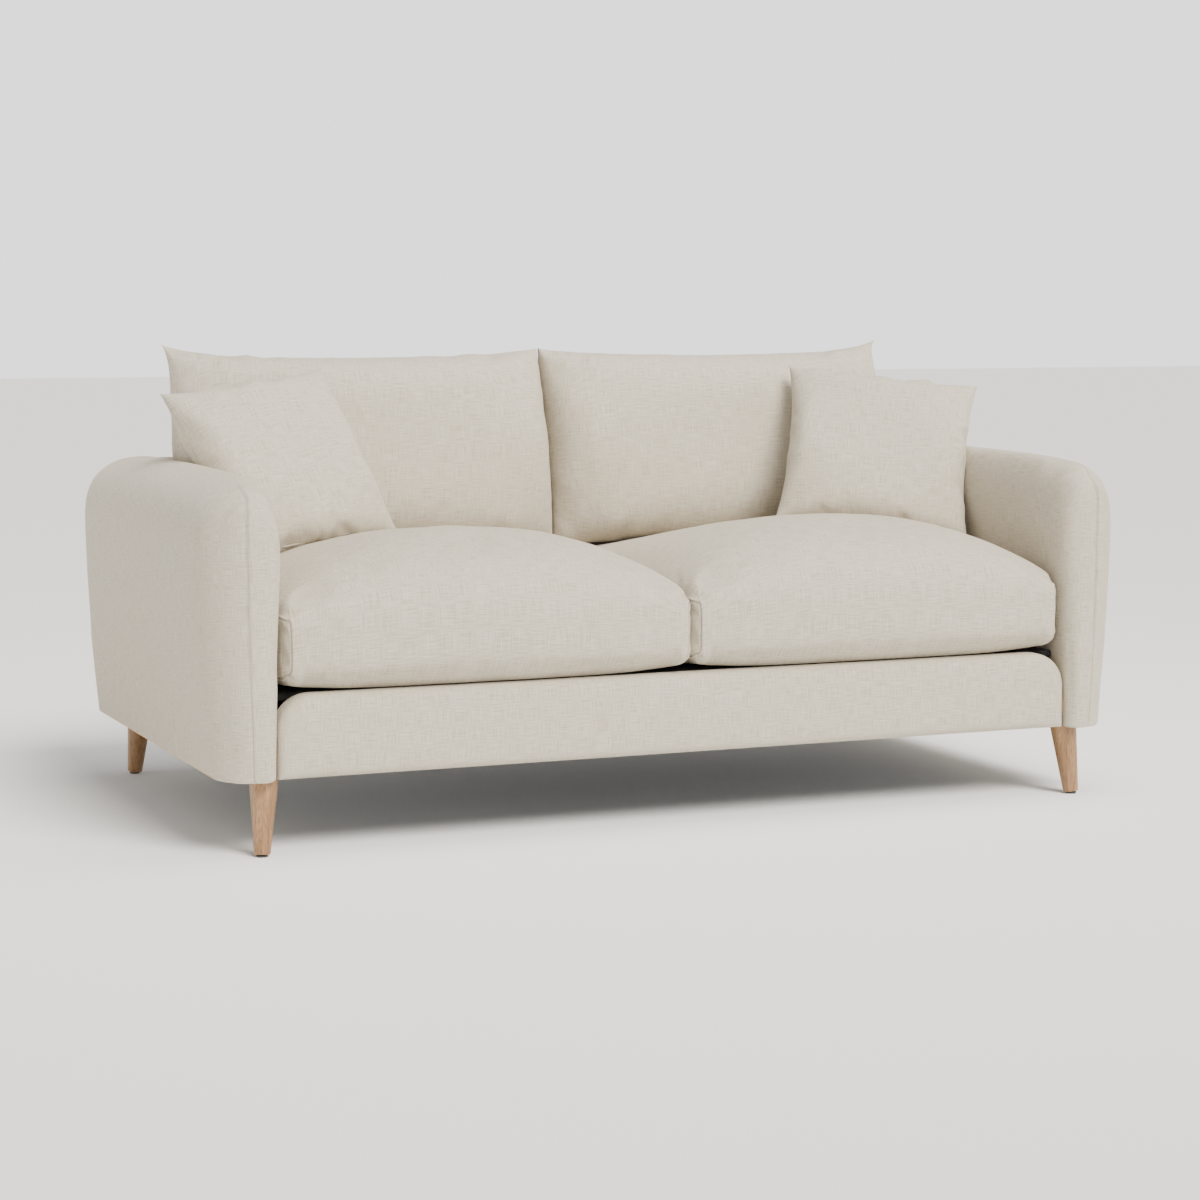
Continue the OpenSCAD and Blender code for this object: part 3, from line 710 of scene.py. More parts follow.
    def build(self, finishes: Finishes) -> bpy.types.Object:
        """Build the arm's cover.

        Args:
            finishes: The sofa's materials.

        Returns:
            The cover.
        """
        line = self.core_x + self.seam_share * (self.high.x - self.core_x)
        near = [line + k * MM for k in (-5, -3, -1.5, 0, 1.5, 3, 5)]
        across = [c for c in span(self.low.x, self.high.x, 0.009) if abs(c - line) > 0.007] + near
        front, rear, bend = self.low.y + 0.1, self.high.y - 0.06, 0.5
        along = span(front, rear, 0.016)
        along += span(self.low.y, front, 0.006) + [front]
        along += span(rear, self.high.y, 0.007) + [rear]
        up = span(self.low.z + 0.01, bend, 0.016) + span(bend, self.high.z, 0.009) + [bend]
        up += [self.low.z + k * MM for k in (1, 2.5, 4.5, 7, 10)]
        bm = block(self.low, self.high, (across, along, up))
        self.block_at = bm.verts.layers.float_vector.new("block_at")
        for vert in bm.verts:
            vert[self.block_at] = vert.co
        for vert in bm.verts:
            self.place(vert)
        ends = [
            v for v in bm.verts
            if v.co.z > self.soft_above
            and min(v.co.y - self.low.y, self.high.y - v.co.y) < self.soft_reach
        ]
        soften(bm, ends, self.softening)
        self.sew_seam(bm)
        if self.side is Side.LEFT:
            mirror(bm)
        name = self.side.label
        return finish_mesh(
            bm, f"arm_upholstery_{name}", finishes.cover, "base",
            [f"arm_cover_{name}", f"arm_foam_{name}"], levels=1,
        )


@dataclass
class FrontRail:
    """Padded front rail: a long low panel with rounded upper corners."""

    corner_r: float = 0.066
    edge_r: float = 0.018
    swell: float = 0.004

    def build(self, finishes: Finishes) -> bpy.types.Object:
        """Build the rail's cover.

        Args:
            finishes: The sofa's materials.

        Returns:
            The cover.
        """
        low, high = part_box("front_rail_cover")
        high.z -= 0.0005
        ends = [k * MM for k in (2, 4, 7, 10, 14, 20, 27, 34, 42, 50, 58, 66, 74, 82)]
        left, right = low.x + 0.09, high.x - 0.09
        across = span(left, right, 0.03) + [left, right]
        across += [low.x + e for e in ends] + [high.x - e for e in ends]
        depth = [low.y + k * MM for k in (1.5, 3.5, 6, 9, 12, 20, 32)]
        up = span(low.z + 0.012, high.z - 0.084, 0.012) + [high.z - e for e in ends]
        up += [low.z + k * MM for k in (1.5, 3.5, 6, 9, 12)]
        bm = block(low, high, (across, depth, up))
        for vert in bm.verts:
            self.place(vert, low, high)
        return finish_mesh(
            bm, "front_rail_upholstery", finishes.cover, "base",
            ["front_rail_cover", "front_rail_foam"], levels=1,
        )

    def place(self, vert: bmesh.types.BMVert, low: Vector, high: Vector) -> None:
        """Bend one vertex of the block to the rail's form.

        Args:
            vert: The vertex.
            low: Lowest corner of the rail.
            high: Highest corner.
        """
        x, y, z = vert.co
        end = high.x - abs(x)
        drop = high.z - z
        r = self.corner_r
        edge = min(end, drop, z - low.z)
        end, drop = roll_edge(end, drop, r)
        rolled, depth = roll_edge(edge, y - low.y, self.edge_r)
        inset = rolled - edge
        y = low.y + depth
        x = math.copysign(high.x - end, x) if abs(x) > 1e-6 else x
        z = high.z - drop
        middle_x = max(low.x + r, min(high.x - r, x))
        centre = Vector((middle_x, 0, max(low.z + r * 0.7, min(high.z - r, z))))
        way = centre - Vector((x, 0, z))
        if way.length > 1e-6 and inset > 0:
            way.normalize()
            x += way.x * inset
            z += way.z * inset
        fill = smooth((z - low.z) / 0.05) * smooth((high.z - z) / 0.05)
        fill *= smooth((high.x - abs(x)) / 0.06)
        vert.co = (x, y - self.swell * fill * (vert.co.y < low.y + 0.02), z)


@dataclass
class Deck:
    """Thin pad under the seat cushions, wrapped in dark base cloth."""

    edge_r: float = 0.004

    def build(self, finishes: Finishes) -> bpy.types.Object:
        """Build the deck.

        Args:
            finishes: The sofa's materials.

        Returns:
            The deck.
        """
        low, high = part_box("deck_pad")
        high.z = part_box("deck_cloth")[1].z - 0.0004
        bm = block(low, high, ([], [], []))
        bmesh.ops.bevel(
            bm, geom=bm.edges, offset=self.edge_r, segments=3, affect="EDGES", profile=0.5,
            material=-1,
        )
        piece = finish_mesh(
            bm, "deck_upholstery", finishes.base_cloth, "base",
            ["deck_cloth", "deck_pad"],
        )
        return piece


@dataclass
class Back:
    """Low padded back between the arms, with a rounded top and a stitched outside panel."""

    lean: float = 12.0
    top_d: float = 0.085
    foot_half_w: float = 0.801
    shoulder_z: float = 0.52
    front_r: float = 0.040
    rear_r: float = 0.036
    panel_drop: float = 0.045
    panel_inset: float = 0.030
    seam_mm: float = 2.4
    seam_sink_mm: float = 1.8
    seam_painted_shade: float = 0.5

    def build(self, finishes: Finishes) -> bpy.types.Object:
        """Build the back's cover.

        Args:
            finishes: The sofa's materials.

        Returns:
            The cover.
        """
        low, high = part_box("back_cover")
        tilt = math.tan(math.radians(self.lean))
        y_top = high.y - self.top_d
        across = span(low.x, high.x, 0.03)
        depth = span(0.0, 1.0, 0.07)
        near = [k * MM for k in (-5, -2.5, 0, 2.5, 5)]
        panel_z, panel_x = high.z - self.panel_drop, high.x - self.panel_inset
        across += [s * (panel_x + k) for k in near for s in (-1, 1)]
        bend = high.z - 0.05
        up = span(low.z, bend, 0.02) + span(bend, high.z, 0.006) + [bend]
        up += [panel_z + k for k in near]
        bm = block((low.x, 0.0, low.z), (high.x, 1.0, high.z), (across, depth, up))
        weave = bm.loops.layers.uv["weave"]
        seam = bm.verts.layers.float.new("seam")
        for vert in bm.verts:
            x, share, z = vert.co
            front = y_top - (high.z - self.front_r - z) * tilt
            front = max(front, low.y) if z > low.z + 0.12 else low.y
            front = min(front, y_top)
            thick = high.y - front
            y = front + thick * share
            if share < 0.5:
                drop, ahead = roll_edge(high.z - z, y - front, self.front_r)
                z, y = high.z - drop, front + ahead
            else:
                drop, behind = roll_edge(high.z - z, high.y - y, self.rear_r)
                z, y = high.z - drop, high.y - behind
            if share > 0.999:
                below = abs(vert.co.z - panel_z) if abs(x) < panel_x else 1
                beside = abs(abs(x) - panel_x) if vert.co.z < panel_z else 1
                gap = min(below, beside)
                dent = math.exp(-((gap / (self.seam_mm * MM)) ** 2))
                y -= self.seam_sink_mm * MM * dent
                # Painted shade: the seam's groove is also darkened in the colour, besides being
                # sunk.
                vert[seam] = self.seam_painted_shade * dent
            vert.co = (x, y, z)
        for face in bm.faces:
            for loop in face.loops:
                co = loop.vert.co
                loop[weave].uv = (co.x, co.z + co.y)
        foot, shoulder = self.foot_half_w, high.x
        for vert in bm.verts:
            rise = min(1.0, max(0.0, (vert.co.z - low.z) / (self.shoulder_z - low.z)))
            vert.co.x *= (foot + (shoulder - foot) * rise**1.3 - 0.0005) / high.x
        return finish_mesh(
            bm, "back_upholstery", finishes.cover, "base",
            ["back_cover", "back_pad"], levels=1,
        )


# ------------------------------------------------------------------ cushions


@dataclass(frozen=True)
class Filling:
    """How hard a cushion's filling presses on its cover in the cloth simulation."""

    pressure: float
    frames: int
    stiffness: float = 15.0
    bending: float = 0.5
    shrink: float = 0.0


def inflate(bm: bmesh.types.BMesh, filling: Filling) -> np.ndarray:
    """Let a filling press a cover out by cloth simulation.

    Args:
        bm: The sewn cover; it is left as it is.
        filling: The filling's pressure and length of the simulation.

    Returns:
        The cover's points after the simulation, in the order of its vertices.
    """
    mesh = bpy.data.meshes.new("trial")
    bm.to_mesh(mesh)
    piece = bpy.data.objects.new("trial", mesh)
    scene = bpy.context.scene
    scene.collection.objects.link(piece)
    modifier = piece.modifiers.new("cloth", "CLOTH")
    cloth = modifier.settings
    cloth.quality = 5
    cloth.mass = 0.3
    cloth.tension_stiffness = cloth.compression_stiffness = filling.stiffness
    cloth.shear_stiffness = 5.0
    cloth.bending_stiffness = filling.bending
    cloth.use_pressure = True
    cloth.uniform_pressure_force = filling.pressure
    cloth.shrink_min = filling.shrink
    cloth.effector_weights.gravity = 0.0
    modifier.collision_settings.use_collision = False
    modifier.point_cache.frame_start = 1
    modifier.point_cache.frame_end = filling.frames
    for step in range(1, filling.frames + 1):
        scene.frame_set(step)
    evaluated = piece.evaluated_get(bpy.context.evaluated_depsgraph_get())
    points = np.zeros(len(evaluated.data.vertices) * 3, np.float32)
    evaluated.data.vertices.foreach_get("co", points)
    piece.modifiers.remove(modifier)
    bpy.data.objects.remove(piece)
    scene.frame_set(1)
    return points.reshape(-1, 3).astype(float)


@dataclass
class Pillow:
    """A knife-edged cushion: two panels sewn round the edge and filled."""

    name: str
    body: str
    replaced: list[str]
    width: float
    height: float
    front_t: float
    rear_t: float
    centre: Vector
    turn: tuple[float, float, float]
    filling: Filling
    fill: float
    side_pull: float = 0.02
    top_pull: float = 0.02
    foot_pull: float = 0.02
    pucker: float = 0.0018
    ear: float = 0.0
    ear_side: int = 1
    rim_calm: float = 0.6
    ironing: int = 3
    side_ironing: int = 6
    seam_painted_shade: float = 0.18
    spare_w: float = 1.06
    spare_h: float = 1.08
    rim_reach: int = 8
    ear_reach: int = 7
    pucker_rate: float = 26.0
    pucker_reach: float = 0.04
    cell: float = 0.0065
    seed: int = 1

    def panels(self) -> bmesh.types.BMesh:
        """Sew two flat panels together, a little larger than the filled cushion.

        Returns:
            The cover, flat, in the cushion's own frame.
        """
        wide, tall = self.width * self.spare_w, self.height * self.spare_h
        columns, rows = round(wide / self.cell), round(tall / self.cell)
        bm = bmesh.new()
        weave = bm.loops.layers.uv.new("weave")
        for face_side in (1, -1):
            made = bmesh.ops.create_grid(bm, x_segments=columns, y_segments=rows, size=0.5)
            verts = made["verts"]
            bmesh.ops.scale(bm, vec=(wide, tall, 1), verts=verts)
            faces = {f for v in verts for f in v.link_faces}
            if face_side < 0:
                bmesh.ops.reverse_faces(bm, faces=list(faces))
            for face in faces:
                face.smooth = True
                for loop in face.loops:
                    loop[weave].uv = (loop.vert.co.x, loop.vert.co.y * face_side + face_side)
            for vert in verts:
                edge = min(wide / 2 - abs(vert.co.x), tall / 2 - abs(vert.co.y))
                wobble = noise.noise(vert.co * 14 + Vector((self.seed, 0, face_side)))
                vert.co.z = face_side * min(edge, 0.004) * (0.5 + 0.25 * wobble)
        bmesh.ops.remove_doubles(bm, verts=bm.verts, dist=self.cell * 0.04)
        return bm

    def build(self, finishes: Finishes) -> bpy.types.Object:
        """Fill the cushion and set it in place.

        Args:
            finishes: The sofa's materials.

        Returns:
            The cushion.
        """
        bm = self.panels()
        flat = np.array([v.co for v in bm.verts], float)
        edge = np.abs(flat[:, 2]) < 1e-6
        points = inflate(bm, self.filling)
        points = self.iron(bm, points, flat)
        points = self.fit(points, flat, edge)
        place = Matrix.Translation(self.centre) @ Euler(
            [math.radians(a) for a in self.turn], "YXZ"
        ).to_matrix().to_4x4()
        for vert, point in zip(bm.verts, points):
            vert.co = place @ Vector((point[0], -point[2], point[1]))
        seam = bm.verts.layers.float.new("seam")
        for vert, on_edge in zip(bm.verts, edge):
            # Painted shade along the edge seam, darkening the colour there.
            vert[seam] = self.seam_painted_shade if on_edge else 0.0
        bmesh.ops.recalc_face_normals(bm, faces=bm.faces)
        piece = finish_mesh(
            bm, self.name, finishes.cover, self.body, self.replaced, levels=1
        )
        return piece

    def iron(self, bm: bmesh.types.BMesh, points: np.ndarray, flat: np.ndarray) -> np.ndarray:
        """Smooth small wrinkles out of the filled cover, most of all along its two sides.

        Args:
            bm: The cover, used for its connections.
            points: Points after the simulation.
            flat: The same points on the flat cover.

        Returns:
            The smoothed points.
        """
        for vert, point in zip(bm.verts, points):
            vert.co = point
        limit = 0.72 * np.abs(flat[:, 0]).max()
        sides = [v for v, place in zip(bm.verts, flat) if abs(place[0]) > limit]
        soften(bm, bm.verts[:], self.ironing)
        soften(bm, sides, self.side_ironing)
        return np.array([v.co for v in bm.verts], float)

    def fit(self, points: np.ndarray, flat: np.ndarray, edge: np.ndarray) -> np.ndarray:
        """Bring the filled cushion to its real size and outline.

        Args:
            points: Points after the simulation.
            flat: The same points on the flat cover.
            edge: True for points on the seam.

        Returns:
            The points at the cushion's width, height and depth.
        """
        points = points - (points.max(0) + points.min(0)) / 2
        share = flat[:, :2] / np.abs(flat[:, :2]).max(0)
        half = (self.width / 2, self.height / 2)
        pulls = ((self.side_pull, self.side_pull), (self.foot_pull, self.top_pull))
        fitted = points.copy()
        for axis, other in ((0, 1), (1, 0)):
            for way, pull in zip((-1, 1), pulls[axis]):
                rim = edge & (share[:, axis] * way > 0.999)
                order = np.argsort(share[rim, other])
                at, out = share[rim, other][order], points[rim, axis][order] * way
                is_side = points[:, axis] * way > 0
                row = share[is_side, other]
                wanted = half[axis] - pull * (1 - np.abs(row) ** 2.6)
                fitted[is_side, axis] = points[is_side, axis] * wanted / np.interp(row, at, out)
        points = fitted
        points[:, 2] -= points[edge][:, 2].mean()
        for axis, other in ((0, 1), (1, 0)):
            for way in (-1, 1):
                rim = edge & (share[:, axis] * way > 0.999)
                order = np.argsort(share[rim, other])
                wave = np.interp(share[:, other], share[rim, other][order], points[rim, 2][order])
                near = (share[:, axis] * way).clip(0) ** self.rim_reach
                points[:, 2] -= self.rim_calm * wave * near
        outer, upper = (share[:, 0] * self.ear_side).clip(0), share[:, 1].clip(0)
        corner = outer**self.ear_reach * upper**self.ear_reach
        points[:, 0] += self.ear_side * self.ear * corner
        points[:, 1] += self.ear * corner
        rim_gap = ((1 - np.abs(share)) * half).min(1)
        for i in np.flatnonzero(rim_gap < 0.09):
            x, y, face_side = flat[i]
            seed = self.seed + 9.0 * (face_side > 0)
            run = Vector((x * self.pucker_rate, y * self.pucker_rate, seed))
            fade = math.exp(-rim_gap[i] / self.pucker_reach)
            points[i, 2] += self.pucker * noise.noise(run) * fade
        depth = points[:, 2]
        points[:, 2] = np.where(
            depth > 0, depth * self.front_t / depth.max(), depth * self.rear_t / -depth.min()
        )
        return points


@dataclass(frozen=True)
class Fold:
    """A soft fold in a cover: a shallow valley between two faint swells."""

    x: float
    y: float
    heading: float
    length: float
    width: float = 0.012
    depth: float = 0.0038

    def lift(self, x: float, y: float) -> float:
        """Give the fold's height at a point.

        Args:
            x: Distance from the cushion's inner side in metres.
            y: Distance from its front.

        Returns:
            The height in metres.
        """
        turn = math.radians(self.heading)
        dx, dy = x - self.x, y - self.y
        along = (dx * math.sin(turn) + dy * math.cos(turn)) / self.length
        bow = 0.35 * self.length * along * along
        off = (dx * math.cos(turn) - dy * math.sin(turn) + bow) / self.width
        return self.depth * (off * off - 0.6) * math.exp(-off * off - along * along * 2.5)


SEAT_FOLDS = (
    Fold(0.30, 0.10, 12, 0.11, depth=0.0052),
    Fold(0.36, 0.13, 25, 0.10, depth=0.0052),
    Fold(0.24, 0.15, -8, 0.09, 0.010, 0.0036),
    Fold(0.44, 0.09, 30, 0.08, 0.010, 0.0034),
    Fold(0.60, 0.16, 38, 0.10, 0.014, 0.0038),
    Fold(0.14, 0.10, -30, 0.08, 0.014, 0.0034),
)


@dataclass
class SeatCushion:
    """A boxed seat cushion: one panel wraps over its front and a gusset closes each side."""

    side: Side
    side_h: float = 0.142
    crown_h: float = 0.118
    crest_at: float = 0.22
    rear_h: float = 0.045
    corner_r: float = 0.040
    nose: float = 0.016
    edge_r: float = 0.046
    corner_lift: float = 0.020
    gusset_wrap: float = 0.010
    softening: int = 16
    gusset_r: float = 0.022
    nose_r: float = 0.026
    side_r: float = 0.030
    welt_r: float = 0.020
    set_back: float = 0.014
    plump_most: float = 0.007
    seam_painted_shade: float = 0.6
    wave_mm: float = 1.6
    front_run: float = 0.10
    low: Vector = field(init=False)
    high: Vector = field(init=False)

    def __post_init__(self) -> None:
        """Read the cushion's box from the frame, as a right-hand cushion."""
        self.low, self.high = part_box("seat_cover_right")

    def crown(self, u: float, depth: float) -> float:
        """Give the height of the top above the sewn side.

        Args:
            u: Share of the way from the middle to a side, 0 to 1.
            depth: Distance from the front in metres.

        Returns:
            The height in metres.
        """
        length = self.high.y - self.low.y
        across = max(0.0, 1 - u**2.3) ** 0.72
        if depth < self.crest_at:
            t = depth / self.crest_at
            run = 0.72 + 0.28 * math.sin(t * math.pi / 2)
            rise = self.crown_h * run
        else:
            t = (depth - self.crest_at) / (length - self.crest_at)
            rise = self.rear_h + (self.crown_h - self.rear_h) * (1 - smooth(t * 0.97))
            rise *= max(0.0, 1 - t**7) ** 0.5
        return rise * across

    def place(self, vert: bmesh.types.BMVert) -> None:
        """Bend one vertex of the block to the cushion's form."""
        x, y, z = vert.co
        mid = (self.low.x + self.high.x) / 2
        half = (self.high.x - self.low.x) / 2
        mid_y = (self.low.y + self.high.y) / 2
        u = abs(x - mid) / half
        depth, behind = y - self.low.y, self.high.y - y
        side_top = self.low.z + self.side_h
        share = (z - self.low.z) / self.side_h
        top = side_top + self.crown(min(u, 1.0), max(depth, 0.0))
        # Vertical corners, rounded in plan.
        r = self.nose_r if y < mid_y else self.corner_r
        aside = (1 - u) * half
        back_off = min(depth, behind)
        aside, back_off = roll_edge(aside, back_off, r)
        depth, behind = (back_off, behind) if depth < behind else (depth, back_off)
        # Front bullnose: the top rolls over into the front face.
        height = self.low.z + (top - self.low.z) * share
        lift = top - side_top
        roll_h = self.side_r + 1.00 * lift
        roll_d = self.side_r + 1.05 * lift
        drop, depth = roll_edge(top - height, depth, roll_h, roll_d, 2.1)
        # Side edges: a short roll between the top panel and the gusset.
        drop, aside = roll_edge(drop, aside, self.welt_r)
        # Underside: edges turn up.
        r = self.edge_r * (0.55 if aside < 0.03 else 1.0)
        rise, near = roll_edge(top - drop - self.low.z, min(depth, behind), r)
        depth, behind = (near, behind) if depth < behind else (depth, near)
        rise, aside = roll_edge(rise, aside, self.welt_r)
        height = self.low.z + rise
        front = vert.co.y - self.low.y < self.high.y - vert.co.y
        y = self.low.y + depth if front else self.high.y - behind
        # The filling rounds off, so the underside lifts off the deck at the front corners.
        low_share = max(0.0, 1 - (height - self.low.z) / self.side_h)
        near_front = math.exp(-max(depth, 0.0) / self.front_run)
        height += self.corner_lift * u**5 * near_front * low_share
        # The front sits back a little and swells forwards at its middle.
        swell = self.nose * (1 - u**2) * smooth((height - self.low.z) / 0.06)
        y += (self.set_back - swell) * math.exp(-depth / self.front_run)
        vert.co = (mid + math.copysign(half - aside, x - mid), y, height)

    def gusset_gap(self, start: Vector) -> float:
        """Measure how far a point lies outside the gusset, along the unrolled side.

        Args:
            start: The point on the plain block, on a side, front or rear face.

        Returns:
            Signed distance to the seam, positive outside the gusset.
        """
        aside = min(start.x - self.low.x, self.high.x - start.x)
        half_y = (self.high.y - self.low.y) / 2
        end = min(start.y - self.low.y, self.high.y - start.y)
        along = half_y - end + aside
        half_z = self.side_h / 2 - 0.012
        r = self.gusset_r
        dy = along - half_y - self.gusset_wrap + r
        dz = abs(start.z - self.low.z - self.side_h / 2) - half_z + r
        outside = math.hypot(max(dy, 0.0), max(dz, 0.0))
        return outside + min(max(dy, dz), 0.0) - r

    def build(self, finishes: Finishes) -> bpy.types.Object:
        """Build and fill the cushion.

        Args:
            finishes: The sofa's materials.

        Returns:
            The cushion.
        """
        low, high = self.low, Vector((self.high.x, self.high.y, self.low.z + self.side_h))
        ends = [k * MM for k in (1.5, 3.5, 6, 8.5, 10.5, 12, 13, 14, 16, 18.5, 22, 27, 35)]
        left, right, front, rear = low.x + 0.045, high.x - 0.045, low.y + 0.075, high.y - 0.04
        foot, head = low.z + 0.030, high.z - 0.030
        across = span(left, right, 0.0115) + [left, right]
        across += [low.x + e for e in ends] + [high.x - e for e in ends]
        along = span(front, rear, 0.0115) + [front, rear]
        along += span(low.y, front, 0.006) + [high.y - e for e in ends]
        up = span(low.z, foot, 0.0025) + span(foot, head, 0.009)
        up += span(head, high.z, 0.0025) + [foot, head]
        bm = block(low, high, (across, along, up))
        starts = [v.co.copy() for v in bm.verts]
        for vert in bm.verts:
            self.place(vert)
        top = [v for v, start in zip(bm.verts, starts) if start.z > low.z + 0.7 * self.side_h]
        soften(bm, top, self.softening)
        if self.side is Side.LEFT:
            mirror(bm)
        self.plump(bm)
        self.crease(bm, starts)
        name = self.side.label
        piece = finish_mesh(
            bm, f"seat_cushion_{name}", finishes.cover, f"seat_cushion_{name}",
            [f"seat_cover_{name}", f"seat_core_{name}"], levels=1,
        )
        return piece

    def plump(self, bm: bmesh.types.BMesh) -> None:
        """Press the cover out by simulation, each point by no more than a few millimetres."""
        before = np.array([v.co for v in bm.verts], float)
        moved = inflate(bm, Filling(pressure=1.2, frames=12, shrink=-0.015)) - before
        far = np.linalg.norm(moved, axis=1, keepdims=True)
        moved *= self.plump_most * np.tanh(far / self.plump_most) / np.maximum(far, 1e-9)
        for vert, shift in zip(bm.verts, moved):
            keep = smooth((vert.co.z - self.low.z) / 0.03)
            vert.co += Vector(shift) * keep

    def crease(self, bm: bmesh.types.BMesh, starts: Sequence[Vector]) -> None:
        """Sew the gusset seams and leave soft creases where people sit.

        Args:
            bm: The cushion.
            starts: Each vertex's place on the plain block.
        """
        bm.normal_update()
        seam = bm.verts.layers.float.new("seam")
        shift = Vector((3.0 * self.side.value, 0, 5))
        for vert, start in zip(bm.verts, starts):
            dent = 0.0
            aside = min(start.x - self.low.x, self.high.x - start.x)
            end = min(start.y - self.low.y, self.high.y - start.y)
            if aside < 1e-5 or (end < 1e-5 and aside < 0.04):
                gap = self.gusset_gap(start)
                dent = math.exp(-((gap / (1.8 * MM)) ** 2))
                # The seam allowance makes a low ridge beside the stitching.
                ridge = math.exp(-(((gap - 4.5 * MM) / (2.6 * MM)) ** 2))
                vert.co += vert.normal * (0.8 * MM * ridge - 1.5 * MM * dent)
            # Painted shade: the gusset seam's groove is also darkened in the colour, besides being
            # sunk.
            vert[seam] = self.seam_painted_shade * dent
            if vert.normal.z > 0.2 or vert.normal.y < -0.3:
                wave = Vector((vert.co.x * 14, vert.co.y * 5, vert.co.z * 3)) + shift
                fold = noise.noise(wave) + 0.5 * noise.noise(wave * 2.1)
                lift = self.wave_mm * MM * fold
                if start.z > self.low.z + 0.5 * self.side_h:
                    at = start - self.low
                    lift += sum(f.lift(at.x, at.y) for f in SEAT_FOLDS)
                vert.co += vert.normal * lift


# ------------------------------------------------------------------ studio


@dataclass
class Studio:
    """Pale floor, soft lights and the viewing camera."""

    camera_at: Point = (-2.1468, -5.1438, 0.9667)
    azimuth: float = -22.78
    elevation: float = 6.10
    lens: float = 84.0
    floor_tint: str = "#fbfbfa"
    horizon: float = 1.9
    zenith: float = 0.34
    sun_aim: Point = (-0.30, 1.0, -1.10)
    sun_strength: float = 5.3
    sun_angle: float = 30.0
    sun_tint: str = "#fffaf2"

    def place_camera(self) -> None:
        """Make the camera and aim it."""
        data = bpy.data.cameras.new("camera")
        data.lens, data.sensor_width = self.lens, 36.0
        camera = bpy.data.objects.new("camera", data)
        camera.location = self.camera_at
        camera.rotation_euler = (math.radians(90 - self.elevation), 0, math.radians(self.azimuth))
        bpy.context.scene.collection.objects.link(camera)
        bpy.context.scene.camera = camera

    def lay_floor(self) -> None:
        """Lay a large plain floor."""
        bm = bmesh.new()
        bmesh.ops.create_grid(bm, x_segments=1, y_segments=1, size=30)
        mesh = bpy.data.meshes.new("floor")
        bm.to_mesh(mesh)
        bm.free()
        floor = bpy.data.objects.new("floor", mesh)
        values = {"Base Color": srgb(self.floor_tint), "Roughness": 0.9}
        mesh.materials.append(start_material("floor_pale", values)[0])
        bpy.context.scene.collection.objects.link(floor)

    def hang_light(
        self, name: str, at: Point, aim: Point, size: float, watts: float, tint: str
    ) -> None:
        """Hang one soft square light.

        Args:
            name: The light's name.
            at: Its place.
            aim: The point it shines on.
            size: Its side in metres.
            watts: Its power.
            tint: Its sRGB hex colour.
        """
        data = bpy.data.lights.new(name, "AREA")
        data.size, data.energy = size, watts
        data.color = srgb(tint)[:3]
        light = bpy.data.objects.new(name, data)
        light.location = at
        light.rotation_euler = (Vector(aim) - Vector(at)).to_track_quat("-Z", "Y").to_euler()
        bpy.context.scene.collection.objects.link(light)

    def light(self) -> None:
        """Light the sofa from above and in front, with a bright horizon and a weak left fill."""
        world = bpy.data.worlds.new("studio")
        world.use_nodes = True
        tree = world.node_tree
        up = add_node(tree, "ShaderNodeTexCoord").outputs["Generated"]
        height = add_node(tree, "ShaderNodeSeparateXYZ", {0: up}).outputs[2]
        level = add_node(
            tree, "ShaderNodeMapRange",
            {
                "Value": height, "From Min": 0.10, "From Max": 0.42,
                "To Min": self.horizon, "To Max": self.zenith,
            },
            interpolation_type="SMOOTHSTEP",
        ).outputs[0]
        background = tree.nodes["Background"]
        background.inputs[0].default_value = srgb("#ffffff")
        tree.links.new(level, background.inputs[1])
        bpy.context.scene.world = world
        data = bpy.data.lights.new("key", "SUN")
        data.energy, data.angle = self.sun_strength, math.radians(self.sun_angle)
        data.color = srgb(self.sun_tint)[:3]
        key = bpy.data.objects.new("key", data)
        key.rotation_euler = Vector(self.sun_aim).to_track_quat("-Z", "Y").to_euler()
        bpy.context.scene.collection.objects.link(key)
        self.hang_light("top", (0.7, -0.4, 3.6), (0.0, 0.0, 0.4), 2.4, 75, "#ffffff")
        self.hang_light("rear_left", (-4.2, 1.5, 0.5), (-0.9, 0.2, 0.4), 1.0, 30, "#fff6ea")


# ------------------------------------------------------------------ the sofa


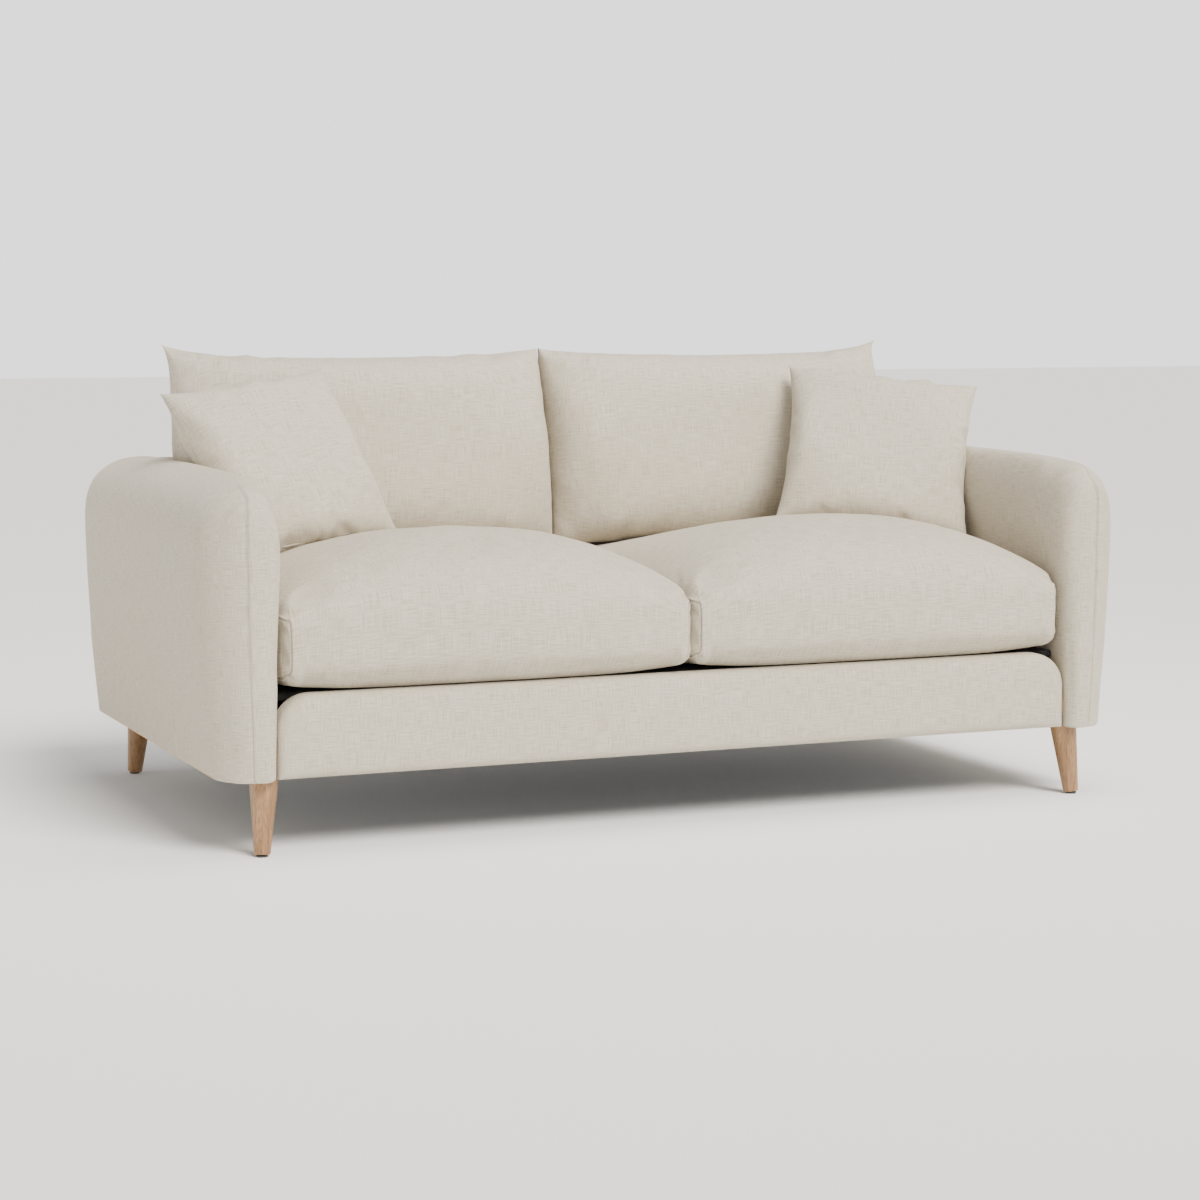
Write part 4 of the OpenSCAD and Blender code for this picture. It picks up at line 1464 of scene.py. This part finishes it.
def make_back_cushion(side: Side) -> Pillow:
    """Describe one back cushion from its CAD solid.

    Args:
        side: The cushion's side.

    Returns:
        The cushion, ready to build.
    """
    name = side.label
    low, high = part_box(f"back_cushion_cover_{name}")
    lean, height = 12.5, 0.412
    foot_y, foot_z = 0.2196, 0.467
    foot = Vector(((low.x + high.x) / 2, foot_y, foot_z))
    rise = Vector((0, math.sin(math.radians(lean)), math.cos(math.radians(lean))))
    return Pillow(
        f"back_cushion_{name}", f"back_cushion_{name}",
        [f"back_cushion_cover_{name}", f"back_fill_{name}"],
        width=high.x - low.x + 0.003, height=height, front_t=0.105, rear_t=0.125,
        centre=foot + rise * height / 2, turn=(-lean, 0, 0),
        filling=Filling(pressure=5.0, frames=19), fill=0.65, cell=0.0072, seed=3 + side.value,
        side_pull=0.001, top_pull=0.020, foot_pull=0.0, pucker=0.0075, ear=0.018,
        ear_side=side.value, rim_calm=0.9, ironing=8, side_ironing=45,
    )


def make_scatter(side: Side) -> Pillow:
    """Describe one scatter cushion from its CAD solid.

    Args:
        side: The cushion's side.

    Returns:
        The cushion, ready to build.
    """
    name = side.label
    low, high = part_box(f"scatter_cover_{name}")
    if side is Side.LEFT:
        turn, shift, wide = (-32.0, -8.0, 13.0), Vector((-0.022, 0.0, -0.010)), 0.374
    else:
        turn, shift, wide = (-33.0, 7.0, -22.0), Vector((0.016, 0.0, -0.012)), 0.402
    return Pillow(
        f"scatter_cushion_{name}", f"scatter_cushion_{name}",
        [f"scatter_cover_{name}", f"scatter_fill_{name}"],
        width=wide, height=0.378, front_t=0.064, rear_t=0.064,
        centre=(low + high) / 2 + shift, turn=turn,
        filling=Filling(pressure=5.0, frames=20), fill=0.6, cell=0.0055, seed=11 + side.value,
        side_pull=0.018, top_pull=0.018, foot_pull=0.012,
    )


def main() -> None:
    """Build the sofa around its frame."""
    logging.basicConfig(level=logging.INFO, format="%(message)s")
    studio = Studio()
    studio.place_camera()
    studio.lay_floor()
    studio.light()
    finishes = Finishes()
    finishes.dress_frame()
    FrontRail().build(finishes)
    Back().build(finishes)
    Deck().build(finishes)
    for side in Side:
        Arm(side).build(finishes)
        SeatCushion(side).build(finishes)
        make_back_cushion(side).build(finishes)
        make_scatter(side).build(finishes)


if __name__ == "__main__":
    main()
